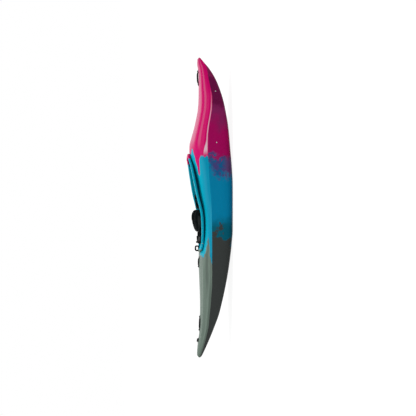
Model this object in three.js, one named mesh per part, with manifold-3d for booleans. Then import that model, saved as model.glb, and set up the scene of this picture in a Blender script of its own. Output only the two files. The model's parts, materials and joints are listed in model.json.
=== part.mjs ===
// Whitewater kayak: moulded hull and deck, coaming, seat, backband, thigh braces, foot braces,
// grab handles, security bar and drain plug.
// Millimetres. X runs to the bow, Y to the left, Z up. The origin is on the floor under the middle.
import * as THREE from "three";
import { mergeVertices } from "three/addons/utils/BufferGeometryUtils.js";
import Module from "manifold-3d";

const wasm = await Module();
wasm.setup();

// Boat
const hullLength = 2750;
const hullBeam = 660;
const hullDepth = 397; // floor to the front of the cockpit rim
const shellWall = 6;
const fitGap = 0.3; // left between pieces that touch
const runGap = 0.5; // left between pieces that slide on each other
const cutOverrun = 20; // how far a cutting shape runs past what it cuts
const weldReach = 0.0001; // points nearer than this are one point

// Lines of the boat. First number: place along the half length, from -1 at the stern to 1 at the bow.
const keelShares = [
  [-1, 0.685], [-0.977, 0.655], [-0.91, 0.572], [-0.844, 0.484], [-0.777, 0.398], [-0.71, 0.315],
  [-0.644, 0.26], [-0.51, 0.164], [-0.377, 0.09], [-0.24, 0.028], [-0.14, 0], [0.14, 0],
  [0.257, 0.018], [0.39, 0.055], [0.524, 0.1], [0.657, 0.18], [0.724, 0.225], [0.79, 0.287],
  [0.857, 0.373], [0.924, 0.509], [0.957, 0.6], [0.985, 0.675], [1, 0.7],
];
const knuckleShares = [
  [-1, 0.715], [-0.977, 0.69], [-0.91, 0.63], [-0.844, 0.579], [-0.777, 0.539], [-0.71, 0.521],
  [-0.577, 0.491], [-0.51, 0.48], [-0.377, 0.486], [-0.076, 0.501], [0.057, 0.519], [0.124, 0.539],
  [0.257, 0.569], [0.357, 0.582], [0.457, 0.577], [0.524, 0.554], [0.59, 0.511], [0.657, 0.474],
  [0.724, 0.466], [0.79, 0.501], [0.857, 0.539], [0.924, 0.569], [0.967, 0.635], [1, 0.72],
];
const ridgeShares = [
  [-1, 0.748], [-0.977, 0.771], [-0.91, 0.756], [-0.844, 0.723], [-0.777, 0.705], [-0.644, 0.7],
  [-0.51, 0.713], [-0.377, 0.728], [-0.34, 0.72], [-0.318, 0.685], [-0.3, 0.652], [-0.277, 0.655],
  [-0.24, 0.68], [-0.159, 0.69], [-0.023, 0.742],
  [0.08, 0.83], [0.183, 0.864], [0.268, 0.88], [0.33, 0.9], [0.357, 0.93], [0.378, 0.948],
  [0.41, 0.947], [0.457, 0.909], [0.524, 0.844], [0.59, 0.793], [0.657, 0.748], [0.724, 0.726],
  [0.79, 0.73], [0.857, 0.735], [0.924, 0.752], [0.957, 0.768], [0.985, 0.763], [1, 0.745],
];
const beamShares = [
  [-1, 0.05], [-0.99, 0.1], [-0.977, 0.155], [-0.91, 0.325], [-0.844, 0.43], [-0.777, 0.51],
  [-0.71, 0.576], [-0.644, 0.652], [-0.577, 0.715], [-0.444, 0.824], [-0.277, 0.933],
  [-0.143, 0.985], [0, 1], [0.12, 1], [0.257, 0.976], [0.39, 0.924], [0.524, 0.833],
  [0.657, 0.71], [0.79, 0.535], [0.857, 0.425], [0.924, 0.29], [0.967, 0.18], [0.99, 0.1], [1, 0.05],
];

// Half sections. First number: share of the half width. Second: share of the rise.
const hullSectionShares = [
  [0, 0], [0.36, 0], [0.66, 0], [0.77, 0.045], [0.85, 0.16], [0.9, 0.34], [0.95, 0.65], [1, 1],
];
const deckSectionShares = [
  [0, 1], [0.22, 0.965], [0.45, 0.86], [0.66, 0.68], [0.82, 0.46], [0.93, 0.22], [1, 0],
];
const stationCount = 32;
const hollowReachShare = 0.93; // the ends past this are solid
const flatReachShare = 0.14; // the floor touches the ground this far each way

// Cockpit and coaming
const cockpitCentreShare = 0.029;
const cockpitLength = 903;
const cockpitWidth = 496;
const rimLip = 38;
const rimDrop = 3;
const rimEdge = 14;
const coamingWall = 6;
const coamingSkirt = 14; // how far the coaming reaches below the deck
const rimPoints = 44;
const rimRoundPower = 0.85;
const rimEggShare = 0.12;
const rimTopShares = [
  [-0.3, 0.711], [-0.24, 0.718], [-0.159, 0.73], [-0.023, 0.762], [0.08, 0.813], [0.183, 0.869],
  [0.268, 0.932], [0.328, 1],
];

// Bolts
const boltHeadRadius = 9;
const boltHeadHeight = 4.5;
const boltShankRadius = 4;
const boltHeadSink = 1.5;
const boltSides = 8;
const boltRimShare = 0.4; // of the head's height
const boltCrownShare = 0.66; // of the head's radius
const boltBiteShare = 0.7; // how far a bolt goes into what it holds

// Grab handles and security bar, each over its own recess of the deck
const bowHandle = { placeShare: 0.863, length: 150, width: 24, thickness: 9, rise: 9, foot: 30 };
const sternHandle = { placeShare: -0.771, length: 150, width: 24, thickness: 9, rise: 8, foot: 30 };
const securityBar = { behindRim: 30, length: 112, width: 22, thickness: 10, rise: 8, foot: 26 };
const handleArcSteps = 8;
const handleArcPower = 4;
const handleTopShare = 0.6; // of its thickness, over its middle line
const handleToeShare = 0.3;
const handleToeReachShare = 0.3; // of the foot
const handleSeatShare = 0.5; // where the bolt's head sits
const handleBoltReach = 26;
const recessDepth = 31;
const recessMargin = 1.5; // from the middle of a handle's foot
const recessWidth = 110;

// Drain plug
const drainPlaceShare = -0.884;
const drainFlangeRadius = 23;
const drainFlangeHeight = 4;
const drainTubeRadius = 15;
const drainTubeLength = 22;
const drainBoreRadius = 11;
const drainSealRadius = 15.5;
const drainSealHeight = 2;
const drainKnobRadius = 17;
const drainKnobHeight = 5;
const drainGripHeight = 3;
const drainGripWidth = 8;
const drainShankLength = 16;
const drainSides = 16;
const drainKnobSideShare = 0.6; // of the knob's height
const drainKnobTopShare = 0.85; // of the knob's radius
const drainGripShare = 0.8;

// Seat
const seatBack = 120; // from the cockpit's centre
const seatLength = 310;
const seatHalfWidth = 195;
const seatWall = 7;
const seatBase = 38; // height of the pan over the floor under it
const seatSide = 105; // height of its side walls over the pan
const seatCornerRadius = 45;
const seatRunnerWidth = 40;
const seatRunnerShare = 0.55; // of the seat's length
const seatRunnerSpacing = 230;
const seatLipHeight = 26;
const seatLipLength = 34;
const seatPadHeight = 24;
const seatPadMargin = 30;
const hipPadThickness = 30;
const hipPadLength = 165;
const hipPadHeight = 78;
const hipPadOverSide = 20; // its upper edge over the seat's wall
const hipPadAft = 35; // aft of the seat's centre
const seatTravel = 25;

// Seat hangers
const hangerFrontAhead = 39; // of the seat's front edge
const hangerRearBehind = 82;
const hangerFootSpread = 24;
const hangerThickness = 18;
const hangerUnderRim = 7;
const hangerOverlap = 44; // how far the foot hangs beside the seat's wall
const hangerFrame = 19;
const hangerBoltShare = 0.6; // of the frame's width, from its corner
const hangerGussetShare = 2; // how far each bolt's corner reaches, in frame widths
const hangerTopShare = 0.6; // of the frame's width
const hangerBoltReach = 16;
const seatBoltBehind = 44; // behind the seat's front edge
const seatBoltDrop = 15; // from the top of the seat's wall

// Backband
const bandCentre = 25; // ahead of the seat's centre
const bandReach = 165; // from there back
const bandHalfWidth = 168;
const bandWing = 35; // straight run of each wing ahead of the centre
const bandHeight = 158;
const bandOverRim = 52;
const bandBackDrop = 20; // how much lower it is at the back than at the hips
const bandThickness = 26;
const bandNoseShare = 0.34; // how far the front corners are rounded off
const bandSteps = 22;
const frameThickness = 4;
const frameHeightShare = 0.55;
const bandWingShare = 0.12; // of half the band's run
const bandNoseDropShare = 0.3;
const bandNoseFullShare = 0.96;
const bandNoseFootShare = 0.8;
const bandNoseThinShare = 0.35;

// Straps, ratchets and pull loop
const strapPlace = 102; // from the middle of the boat
const strapThickness = 3;
const strapHeight = 20;
const strapTail = 21; // aft of the ratchet
const ratchetAft = 205; // from the seat's centre to the ratchet's middle
const ratchetLength = 44;
const ratchetFlange = 3;
const ratchetReach = 10; // inboard of the strap
const ratchetOverRim = 20;
const strapUnderRim = 2;
const leverLength = 38;
const leverThickness = 8;
const leverPinRadius = 2.5;
const leverTabLength = 14;
const leverPinInboard = 5; // from the strap
const leverPinAhead = 10; // of the ratchet's middle
const loopLength = 54;
const loopHeight = 43;
const loopWidth = 20;
const loopThickness = 6.5;
const loopTail = 32;
const loopStandOff = 1.2; // from the coaming's rearmost point
const loopRoundShare = 0.42;

// Thigh braces
const thighAhead = 210; // of the cockpit's centre
const thighLength = 200;
const thighTilt = 6; // degrees, rising to the bow
const thighOuter = 236; // from the middle of the boat
const thighInner = 112;
const thighThickness = 8;
const thighHook = 26;
const thighHookTopShare = 0.4; // where the hook's bend starts
const thighHookFaceShare = 0.5;
const thighHookInsideShare = 0.7;
const thighPadThickness = 10;
const thighPadWidth = 72;
const thighMountLength = 84;
const thighMountWidth = 38;
const thighMountHeight = 13;
const thighMountPlace = 225;
const thighTravel = 20;
const thighBoltReach = 14;
const thighPadMargin = 10;
const thighOutlineShares = [
  [-0.5, 0.3], [-0.42, 0.08], [-0.2, 0], [0.15, 0.02], [0.38, 0.16], [0.5, 0.42],
  [0.48, 0.66], [0.3, 0.9], [-0.05, 1], [-0.32, 0.98], [-0.48, 0.8],
];

// Foot braces
const railRearShare = 0.424;
const railFrontShare = 0.765;
const railHeight = 152;
const railEndMargin = 24;
const railBarHeight = 26;
const railBarThickness = 10;
const railStandOff = 5; // from the shell's inner face to the bar's lower edge
const railFootLength = 42;
const railFootReach = 84; // before the hull's side trims it
const railBoltReach = 30;
const pedalWidth = 84;
const pedalHeight = 118;
const pedalThickness = 9;
const pedalCarriageLength = 62;
const pedalCarriageThickness = 15;
const pedalDrop = 53; // the plate's lower edge below the rail's middle
const pedalLip = 4;
const pedalGrip = 8;
const pedalCornerRadius = 14;

// Foam pillars
const pillarThickness = 72;
const bowPillarGap = 60; // ahead of the cockpit's rim
const bowPillarEndShare = 0.77; // of the half length
const sternPillarGap = 165; // behind the rim
const sternPillarEndShare = -0.7;

// Cushions, slots and where the colours change
const cushionShares = [[0, 0.93], [0.12, 0.97], [0.5, 1], [0.82, 0.95], [1, 0.72]];
const cushionSides = 20;
const cushionSquarePower = 0.5;
const slotRoundShare = 0.98;
const padSectionShares = [
  [0, 0.06], [0, 0.94], [0.3, 1], [0.7, 0.95], [0.95, 0.75], [1, 0.5], [0.95, 0.25], [0.7, 0.05], [0.3, 0],
];
const pinkFromShare = 0.27;
const greyFromShare = -0.22;

const UP = new THREE.Vector3(0, 0, 1);
const INWARD = new THREE.Vector3(0, -1, 0); // on the left side
const halfLength = hullLength / 2;
const halfBeam = hullBeam / 2;
const cockpitCentre = cockpitCentreShare * halfLength;
const [rimRear, rimFront] = [cockpitCentre - cockpitLength / 2, cockpitCentre + cockpitLength / 2];

// Smooth curve through hand-set points that never overshoots them
function follow(shares, at) {
  const last = shares.length - 1;
  if (at <= shares[0][0]) return shares[0][1];
  if (at >= shares[last][0]) return shares[last][1];
  const i = shares.findIndex((point, k) => k < last && at < shares[k + 1][0]);
  const grade = (k) => (shares[k + 1][1] - shares[k][1]) / (shares[k + 1][0] - shares[k][0]);
  const slope = (k) => {
    if (k === 0) return grade(0);
    if (k === last) return grade(last - 1);
    const [before, after] = [grade(k - 1), grade(k)];
    return before * after <= 0 ? 0 : (2 * before * after) / (before + after);
  };
  const span = shares[i + 1][0] - shares[i][0];
  const t = (at - shares[i][0]) / span;
  const [a, b] = [shares[i][1], shares[i + 1][1]];
  const ease = t * t * (3 - 2 * t);
  return a + (b - a) * ease + span * t * (1 - t) * (slope(i) * (1 - t) - slope(i + 1) * t);
}

// Heights and half width of the boat at a place along it
const keelAt = (x) => hullDepth * follow(keelShares, x / halfLength);
const knuckleAt = (x) => hullDepth * follow(knuckleShares, x / halfLength);
const ridgeAt = (x) => hullDepth * follow(ridgeShares, x / halfLength);
const halfWidthAt = (x) => halfBeam * follow(beamShares, x / halfLength);
const rimTopAt = (x) => hullDepth * follow(rimTopShares, x / halfLength);

const handles = { bow_handle: bowHandle, stern_handle: sternHandle, security_bar: securityBar };
const placeOf = (part) =>
  (part.placeShare ? part.placeShare * halfLength : rimRear - part.behindRim - part.length / 2);
const recessLengthOf = (part) => part.length - part.foot - 2 * recessMargin;
const swell = (u) => (Math.abs(u) < 1 ? (1 - u * u) ** 2 : 0);

// How deep the recesses under the handles go at a point of the deck
function recessAt(x, y) {
  return Object.values(handles).reduce((deepest, part) => {
    const along = (x - placeOf(part)) / (recessLengthOf(part) / 2);
    return Math.max(deepest, recessDepth * swell(along) * swell(y / (recessWidth / 2)));
  }, 0);
}

function deckTopAt(x, y) {
  const rise = ridgeAt(x) - knuckleAt(x);
  const across = Math.min(1, Math.abs(y) / halfWidthAt(x));
  return knuckleAt(x) + rise * follow(deckSectionShares, across) - recessAt(x, y);
}

// Half width of the hull's side at a height
function sideAt(x, z) {
  const level = (z - keelAt(x)) / (knuckleAt(x) - keelAt(x));
  const side = hullSectionShares.slice(2).map(([across, up]) => [up, across]);
  return halfWidthAt(x) * follow(side, level);
}

// Solids
function toSolid(geometry) {
  const plain = new THREE.BufferGeometry();
  plain.setAttribute("position", geometry.getAttribute("position"));
  if (geometry.index) plain.setIndex(geometry.index);
  const merged = mergeVertices(plain, weldReach);
  const vertProperties = new Float32Array(merged.attributes.position.array);
  const triVerts = new Uint32Array(merged.index.array);
  return new wasm.Manifold(new wasm.Mesh({ numProp: 3, vertProperties, triVerts }));
}

function toGeometry(solid) {
  const mesh = solid.getMesh();
  const geometry = new THREE.BufferGeometry();
  geometry.setAttribute("position", new THREE.BufferAttribute(mesh.vertProperties, 3));
  geometry.setIndex(new THREE.BufferAttribute(mesh.triVerts, 1));
  return geometry;
}

const joined = (...parts) => toGeometry(parts.map(toSolid).reduce((sum, part) => sum.add(part)));
const cut = (from, ...tools) =>
  toGeometry(tools.map(toSolid).reduce((rest, tool) => rest.subtract(tool), toSolid(from)));
const common = (a, b) => toGeometry(toSolid(a).intersect(toSolid(b)));

// The same piece on the other side of the boat
function acrossBoat(geometry) {
  const other = mergeVertices(new THREE.BufferGeometry().setAttribute("position",
    (geometry.index ? geometry.toNonIndexed() : geometry).getAttribute("position").clone()), weldReach);
  other.scale(1, -1, 1);
  const index = other.index.array;
  for (let i = 0; i < index.length; i += 3) [index[i], index[i + 1]] = [index[i + 1], index[i]];
  return other;
}

const onSide = (side, geometry) => (side > 0 ? geometry : acrossBoat(geometry));

// Closed body through rings of points that have the same count
function loft(rings) {
  const count = rings[0].length;
  const middle = (ring) => ring.reduce((sum, p) => sum.add(p), new THREE.Vector3()).divideScalar(count);
  const points = [...rings.flat(), middle(rings[0]), middle(rings[rings.length - 1])];
  const index = [];
  for (let i = 0; i < rings.length - 1; i += 1) {
    for (let j = 0; j < count; j += 1) {
      const [a, b] = [i * count + j, i * count + ((j + 1) % count)];
      index.push(a, b, b + count, a, b + count, a + count);
    }
  }
  const startCap = rings.length * count;
  const endCap = startCap + 1;
  const lastRing = startCap - count;
  for (let j = 0; j < count; j += 1) {
    const next = (j + 1) % count;
    index.push(startCap, next, j, endCap, lastRing + j, lastRing + next);
  }
  return facingOut(points, index);
}

// Closed band through rings of points, the last ring joined to the first
function closedBand(rings) {
  const count = rings[0].length;
  const index = [];
  rings.forEach((ring, i) => {
    const next = (i + 1) % rings.length;
    for (let j = 0; j < count; j += 1) {
      const k = (j + 1) % count;
      const [a, b, c, d] = [i * count + j, i * count + k, next * count + k, next * count + j];
      index.push(a, b, c, a, c, d);
    }
  });
  return facingOut(rings.flat(), index);
}

// Turns the faces round if they point inwards
function facingOut(points, index) {
  let volume = 0;
  for (let i = 0; i < index.length; i += 3) {
    const [a, b, c] = [points[index[i]], points[index[i + 1]], points[index[i + 2]]];
    volume += a.dot(new THREE.Vector3().crossVectors(b, c));
  }
  if (volume < 0) {
    for (let i = 0; i < index.length; i += 3) [index[i], index[i + 1]] = [index[i + 1], index[i]];
  }
  return new THREE.BufferGeometry().setFromPoints(points).setIndex(index);
}

// Block between two corners
function block(low, high) {
  const size = high.map((value, axis) => value - low[axis]);
  const centre = high.map((value, axis) => (value + low[axis]) / 2);
  return new THREE.BoxGeometry(...size).translate(...centre);
}

// Flat shape given a depth, its arcs cut into a few straight steps
const arcSteps = 5;
const deepened = (shape, depth) =>
  new THREE.ExtrudeGeometry(shape, { depth, bevelEnabled: false, curveSegments: arcSteps });

// Outline drawn in plan, standing from one height to another
const upright = (outline, low, high) => standing(new THREE.Shape(outline), low, high);
const standing = (shape, low, high) => deepened(shape, high - low).translate(0, 0, low);

// Side outline of lengthwise and upright places, spread across the boat between two places
const sideways = (shape, low, high) =>
  deepened(shape, high - low).rotateX(Math.PI / 2).translate(0, high, 0);

const turned = (profile, sides) =>
  new THREE.LatheGeometry(profile.map(([r, z]) => new THREE.Vector2(r, z)), sides).rotateX(Math.PI / 2);

// Stands a piece made along Z on a point, along a direction
function standOn(geometry, point, direction) {
  const turn = new THREE.Quaternion().setFromUnitVectors(UP, direction);
  return geometry.applyQuaternion(turn).translate(point.x, point.y, point.z);
}

// Outline points with one list of corner cuts
function roundedShape(x0, z0, x1, z1, radius) {
  const shape = new THREE.Shape();
  shape.moveTo(x0 + radius, z0);
  shape.lineTo(x1 - radius, z0);
  shape.absarc(x1 - radius, z0 + radius, radius, -Math.PI / 2, 0);
  shape.lineTo(x1, z1 - radius);
  shape.absarc(x1 - radius, z1 - radius, radius, 0, Math.PI / 2);
  shape.lineTo(x0 + radius, z1);
  shape.absarc(x0 + radius, z1 - radius, radius, Math.PI / 2, Math.PI);
  shape.lineTo(x0, z0 + radius);
  shape.absarc(x0 + radius, z0 + radius, radius, Math.PI, (3 * Math.PI) / 2);
  return shape;
}

// Places along the boat where its sections are drawn, with more at each recess
function stations(reach) {
  const limit = reach * halfLength;
  const flats = [-1, 1].map((end) => end * flatReachShare * halfLength);
  const recesses = Object.values(handles).flatMap((part) =>
    [-0.5, -0.25, 0, 0.25, 0.5].map((share) => placeOf(part) + share * recessLengthOf(part)));
  const kept = [...flats, ...recesses].filter((x) => Math.abs(x) < limit - shellWall);
  const even = Array.from({ length: stationCount + 1 }, (_, i) =>
    limit * Math.sin((Math.PI / 2) * ((2 * i) / stationCount - 1)));
  const free = even.filter((x) => kept.every((place) => Math.abs(x - place) > shellWall));
  return [...free, ...kept].sort((a, b) => a - b);
}

function hullHalf(x, inset) {
  const [low, high] = [keelAt(x) + inset, knuckleAt(x)];
  const half = halfWidthAt(x) - inset;
  return hullSectionShares.map(([across, up]) =>
    new THREE.Vector3(x, half * across, low + (high - low) * up));
}

function deckHalf(x, inset) {
  const [low, high] = [knuckleAt(x), ridgeAt(x) - inset];
  const half = halfWidthAt(x) - inset;
  return deckSectionShares.map(([across, up]) => {
    const y = half * across;
    return new THREE.Vector3(x, y, low + (high - low) * up - recessAt(x, y));
  });
}

const flipped = (points) => points.map((p) => new THREE.Vector3(p.x, -p.y, p.z));

// Ring round the hull, from the left knuckle under the keel to the right one, closed by a lid
function hullRing(x, inset, lidShift) {
  const left = hullHalf(x, inset);
  left[left.length - 1].z += lidShift;
  const right = flipped(left);
  return [...left.slice(1).reverse(), ...right];
}

function deckRing(x, inset, lidShift) {
  const left = deckHalf(x, inset);
  left[left.length - 1].z += lidShift;
  const right = flipped(left);
  return [...left.slice(1).reverse(), ...right];
}

// The whole boat as one body, shrunk or grown by an inset, for trimming what sits against the shells
function boatBody(inset, reach) {
  return loft(stations(reach).map((x) => {
    const left = [...hullHalf(x, inset).slice(1), ...deckHalf(x, inset).slice(1, -1).reverse()];
    const [keel, ridge] = [hullHalf(x, inset)[0], deckHalf(x, inset)[0]];
    return [keel, ...left, ridge, ...flipped(left).reverse()];
  }));
}

// Room inside the hull, less a gap, left open at its top
const hullRoom = (gap) =>
  loft(stations(hollowReachShare).map((x) => hullRing(x, shellWall + gap, cutOverrun)));

function hullShell() {
  const outer = loft(stations(1).map((x) => hullRing(x, 0, -fitGap / 2)));
  return cut(outer, hullRoom(0));
}

function deckShell() {
  const outer = loft(stations(1).map((x) => deckRing(x, 0, fitGap / 2)));
  const inner = loft(stations(hollowReachShare).map((x) => deckRing(x, shellWall, -cutOverrun)));
  const opening = upright(cockpitOutline(coamingWall + fitGap), 0, hullDepth + cutOverrun);
  return cut(outer, inner, opening);
}

// Inner outline of the coaming in plan, moved outwards by a distance
function cockpitOutline(distance) {
  const [reach, half] = [cockpitLength / 2 - rimLip, cockpitWidth / 2 - rimLip];
  const at = (turn) => {
    const [c, s] = [Math.cos(turn), Math.sin(turn)];
    const across = Math.sign(s) * Math.abs(s) ** rimRoundPower * (1 - rimEggShare * c);
    return new THREE.Vector2(cockpitCentre + reach * c, half * across);
  };
  const step = (2 * Math.PI) / rimPoints;
  return Array.from({ length: rimPoints }, (_, i) => {
    const along = at((i + 0.5) * step).sub(at((i - 0.5) * step)).normalize();
    return at(i * step).add(new THREE.Vector2(along.y, -along.x).multiplyScalar(distance));
  });
}

// Coaming: a wall standing in the deck's opening, with a rim turned out and down
function coaming() {
  const reaches = [0, rimLip, coamingWall, rimLip - coamingWall];
  const [inner, lip, outer, tuck] = reaches.map((distance) => cockpitOutline(distance));
  const at = (p, z) => new THREE.Vector3(p.x, p.y, z);
  return closedBand(inner.map((p, i) => {
    const foot = deckTopAt(p.x, p.y) - coamingSkirt;
    const top = rimTopAt(p.x);
    const edge = rimTopAt(lip[i].x) - rimDrop;
    return [
      at(p, foot), at(p, top - rimDrop), at(outer[i], top),
      at(lip[i], edge), at(lip[i], edge - rimEdge), at(tuck[i], edge - rimEdge),
      at(tuck[i], edge - coamingWall), at(outer[i], top - rimDrop - coamingWall), at(outer[i], foot),
    ];
  }));
}

// Bolt with a domed head, made along Z with the head's underside at zero
function bolt(shankLength) {
  const [head, shank] = [boltHeadRadius, boltShankRadius];
  return turned([
    [0, -shankLength], [shank, -shankLength], [shank, 0], [head, 0],
    [head, boltHeadHeight * boltRimShare], [head * boltCrownShare, boltHeadHeight], [0, boltHeadHeight],
  ], boltSides);
}

const boltHole = (depth, overrun) => turned([
  [0, -depth], [boltShankRadius + fitGap, -depth], [boltShankRadius + fitGap, overrun], [0, overrun],
], boltSides);

// Handle seen from the side: two feet on the deck and a low arch between them
function handleShape(part) {
  const half = part.length / 2;
  const start = half - part.foot;
  const arch = (thickness, reach) => Array.from({ length: handleArcSteps + 1 }, (_, i) => {
    const u = 1 - (2 * i) / handleArcSteps;
    return new THREE.Vector2(reach * u, part.rise * (1 - u ** handleArcPower) + thickness);
  });
  const above = part.thickness * handleTopShare;
  const toe = part.thickness * handleToeShare;
  const upper = arch(above, start + part.foot * handleToeReachShare);
  const lower = arch(above - part.thickness, start).reverse();
  return new THREE.Shape([
    new THREE.Vector2(half, -part.thickness), new THREE.Vector2(half, toe), ...upper,
    new THREE.Vector2(-half, toe), new THREE.Vector2(-half, -part.thickness),
    new THREE.Vector2(-start, -part.thickness), ...lower, new THREE.Vector2(start, -part.thickness),
  ]);
}

// A handle's own frame: halfway between its feet, tilted as the deck is there
function handleFrame(part) {
  const reach = (part.length - part.foot) / 2;
  const [rear, front] = [placeOf(part) - reach, placeOf(part) + reach];
  const [low, high] = [deckTopAt(rear, 0), deckTopAt(front, 0)];
  const along = new THREE.Vector3(front - rear, 0, high - low).normalize();
  const normal = new THREE.Vector3(-along.z, 0, along.x);
  return { rear, front, low, high, pitch: -Math.asin(along.z), normal };
}

function deckBoltPlaces(part) {
  const frame = handleFrame(part);
  const lift = part.thickness * handleSeatShare;
  return [[frame.rear, frame.low], [frame.front, frame.high]].map(([x, z]) =>
    new THREE.Vector3(x, 0, z).addScaledVector(frame.normal, lift));
}

function deckHandle(part, outerBody) {
  const frame = handleFrame(part);
  const strip = sideways(handleShape(part), -part.width / 2, part.width / 2);
  strip.rotateY(frame.pitch).translate(placeOf(part), 0, (frame.low + frame.high) / 2);
  const holes = deckBoltPlaces(part).flatMap((p) =>
    [boltHole(handleBoltReach, cutOverrun), headRoom()].map((tool) => standOn(tool, p, frame.normal)));
  return cut(strip, outerBody, ...holes);
}

// Room over a handle's foot for its bolt's head
const headRoom = () => turned([
  [0, 0], [boltHeadRadius + fitGap, 0], [boltHeadRadius + fitGap, cutOverrun], [0, cutOverrun],
], boltSides);

// Drain: a flanged seat through the deck, a seal and a plug
function drainFrame() {
  const x = drainPlaceShare * halfLength;
  const step = drainFlangeRadius;
  const along = new THREE.Vector3(2 * step, 0, deckTopAt(x + step, 0) - deckTopAt(x - step, 0)).normalize();
  const normal = new THREE.Vector3(-along.z, 0, along.x);
  return { point: new THREE.Vector3(x, 0, deckTopAt(x, 0)), normal };
}

function drainSeat() {
  return turned([
    [drainBoreRadius, -drainTubeLength], [drainTubeRadius, -drainTubeLength],
    [drainTubeRadius, -drainFlangeHeight / 2], [drainFlangeRadius, -drainFlangeHeight / 2],
    [drainFlangeRadius, drainFlangeHeight / 2], [drainBoreRadius, drainFlangeHeight / 2],
    [drainBoreRadius, -drainTubeLength],
  ], drainSides);
}

function drainSeal() {
  const low = drainFlangeHeight / 2 + fitGap;
  const high = low + drainSealHeight;
  return turned([
    [drainBoreRadius, low], [drainSealRadius, low], [drainSealRadius, high], [drainBoreRadius, high],
    [drainBoreRadius, low],
  ], drainSides);
}

function drainPlug() {
  const shank = drainBoreRadius - runGap;
  const under = drainFlangeHeight / 2 + drainSealHeight + 2 * fitGap;
  const top = under + drainKnobHeight;
  const body = turned([
    [0, under - drainShankLength], [shank, under - drainShankLength], [shank, under],
    [drainKnobRadius, under], [drainKnobRadius, under + drainKnobHeight * drainKnobSideShare],
    [drainKnobRadius * drainKnobTopShare, top], [0, top],
  ], drainSides);
  const [reach, side] = [drainKnobRadius * drainGripShare, drainGripWidth / 2];
  return joined(body, block([-reach, -side, under], [reach, side, top + drainGripHeight]));
}

// Seat
const seatCentre = cockpitCentre - seatBack;
const [seatRear, seatFront] = [seatCentre - seatLength / 2, seatCentre + seatLength / 2];
const seatFloor = keelAt(seatCentre) + shellWall + fitGap;
const seatPanHeight = seatFloor + seatBase;
const seatTop = seatPanHeight + seatSide;
const seatBolt = { x: seatFront - seatBoltBehind, z: seatTop - seatBoltDrop };

function seatSection(halfWidth, low, radius) {
  const shape = [new THREE.Vector2(halfWidth, seatTop)];
  for (let i = 0; i <= arcSteps; i += 1) {
    const turn = (Math.PI / 2) * (i / arcSteps);
    const [inward, upward] = [1 - Math.cos(turn), 1 - Math.sin(turn)];
    shape.push(new THREE.Vector2(halfWidth - radius * inward, low + radius * upward));
  }
  return shape;
}

// Draws a shape of crosswise and upright places along the boat
function lengthways(points, low, high) {
  const geometry = deepened(new THREE.Shape(points), high - low);
  return geometry.rotateX(Math.PI / 2).rotateZ(Math.PI / 2).translate(low, 0, 0);
}

function seatPan() {
  const outer = seatSection(seatHalfWidth, seatPanHeight, seatCornerRadius);
  const inner = seatSection(seatHalfWidth - seatWall, seatPanHeight + seatWall,
    seatCornerRadius - seatWall);
  const over = (list) => list.map((p) => new THREE.Vector2(-p.x, p.y));
  const section = [...outer, ...over(outer).reverse(), ...over(inner), ...inner.reverse()];
  const pan = lengthways(section, seatRear, seatFront);
  const reach = (seatLength * seatRunnerShare) / 2;
  const runners = [-1, 1].map((side) => {
    const y = (side * seatRunnerSpacing) / 2;
    return block([seatCentre - reach, y - seatRunnerWidth / 2, seatFloor],
      [seatCentre + reach, y + seatRunnerWidth / 2, seatPanHeight + seatWall / 2]);
  });
  const lipHalf = seatHalfWidth - seatCornerRadius;
  const lip = block([seatFront - seatLipLength, -lipHalf, seatPanHeight],
    [seatFront, lipHalf, seatPanHeight + seatLipHeight]);
  return cut(joined(pan, ...runners, lip), seatSlot(1), seatSlot(-1));
}

// Slot in the seat's side wall that its bolt slides in
function seatSlot(side) {
  const radius = boltShankRadius + runGap;
  const reach = seatTravel + radius;
  const [low, high] = [seatBolt.z - radius, seatBolt.z + radius];
  const outline = roundedShape(seatBolt.x - reach, low, seatBolt.x + reach, high, radius * slotRoundShare);
  const y = side * seatHalfWidth;
  return sideways(outline, y - cutOverrun, y + cutOverrun);
}

// Crowned cushion on an upright axis: it swells to the middle and draws in at its foot
function cushion(length, width, height) {
  const square = (value) => Math.sign(value) * Math.abs(value) ** cushionSquarePower;
  return loft(cushionShares.map(([up, spread]) => Array.from({ length: cushionSides }, (_, i) => {
    const turn = (2 * Math.PI * i) / cushionSides;
    const [along, across] = [square(Math.cos(turn)), square(Math.sin(turn))];
    return new THREE.Vector3((length / 2) * spread * along, (width / 2) * spread * across, height * up);
  })));
}

function seatPad() {
  const length = seatLength - seatLipLength - seatPadMargin;
  const width = 2 * (seatHalfWidth - seatCornerRadius);
  const height = seatPanHeight + seatWall + fitGap;
  return cushion(length, width, seatPadHeight).translate(seatCentre - seatLipLength / 2, 0, height);
}

function hipPad() {
  const pad = cushion(hipPadLength, hipPadHeight, hipPadThickness).rotateX(Math.PI / 2);
  const height = seatTop + hipPadOverSide - hipPadHeight / 2;
  return pad.translate(seatCentre - hipPadAft, seatHalfWidth - seatWall - fitGap, height);
}

function seatBoltPiece() {
  const head = new THREE.Vector3(seatBolt.x, seatHalfWidth - seatWall - runGap, seatBolt.z);
  return standOn(bolt(seatWall + hangerThickness * boltBiteShare), head, INWARD);
}

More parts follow.
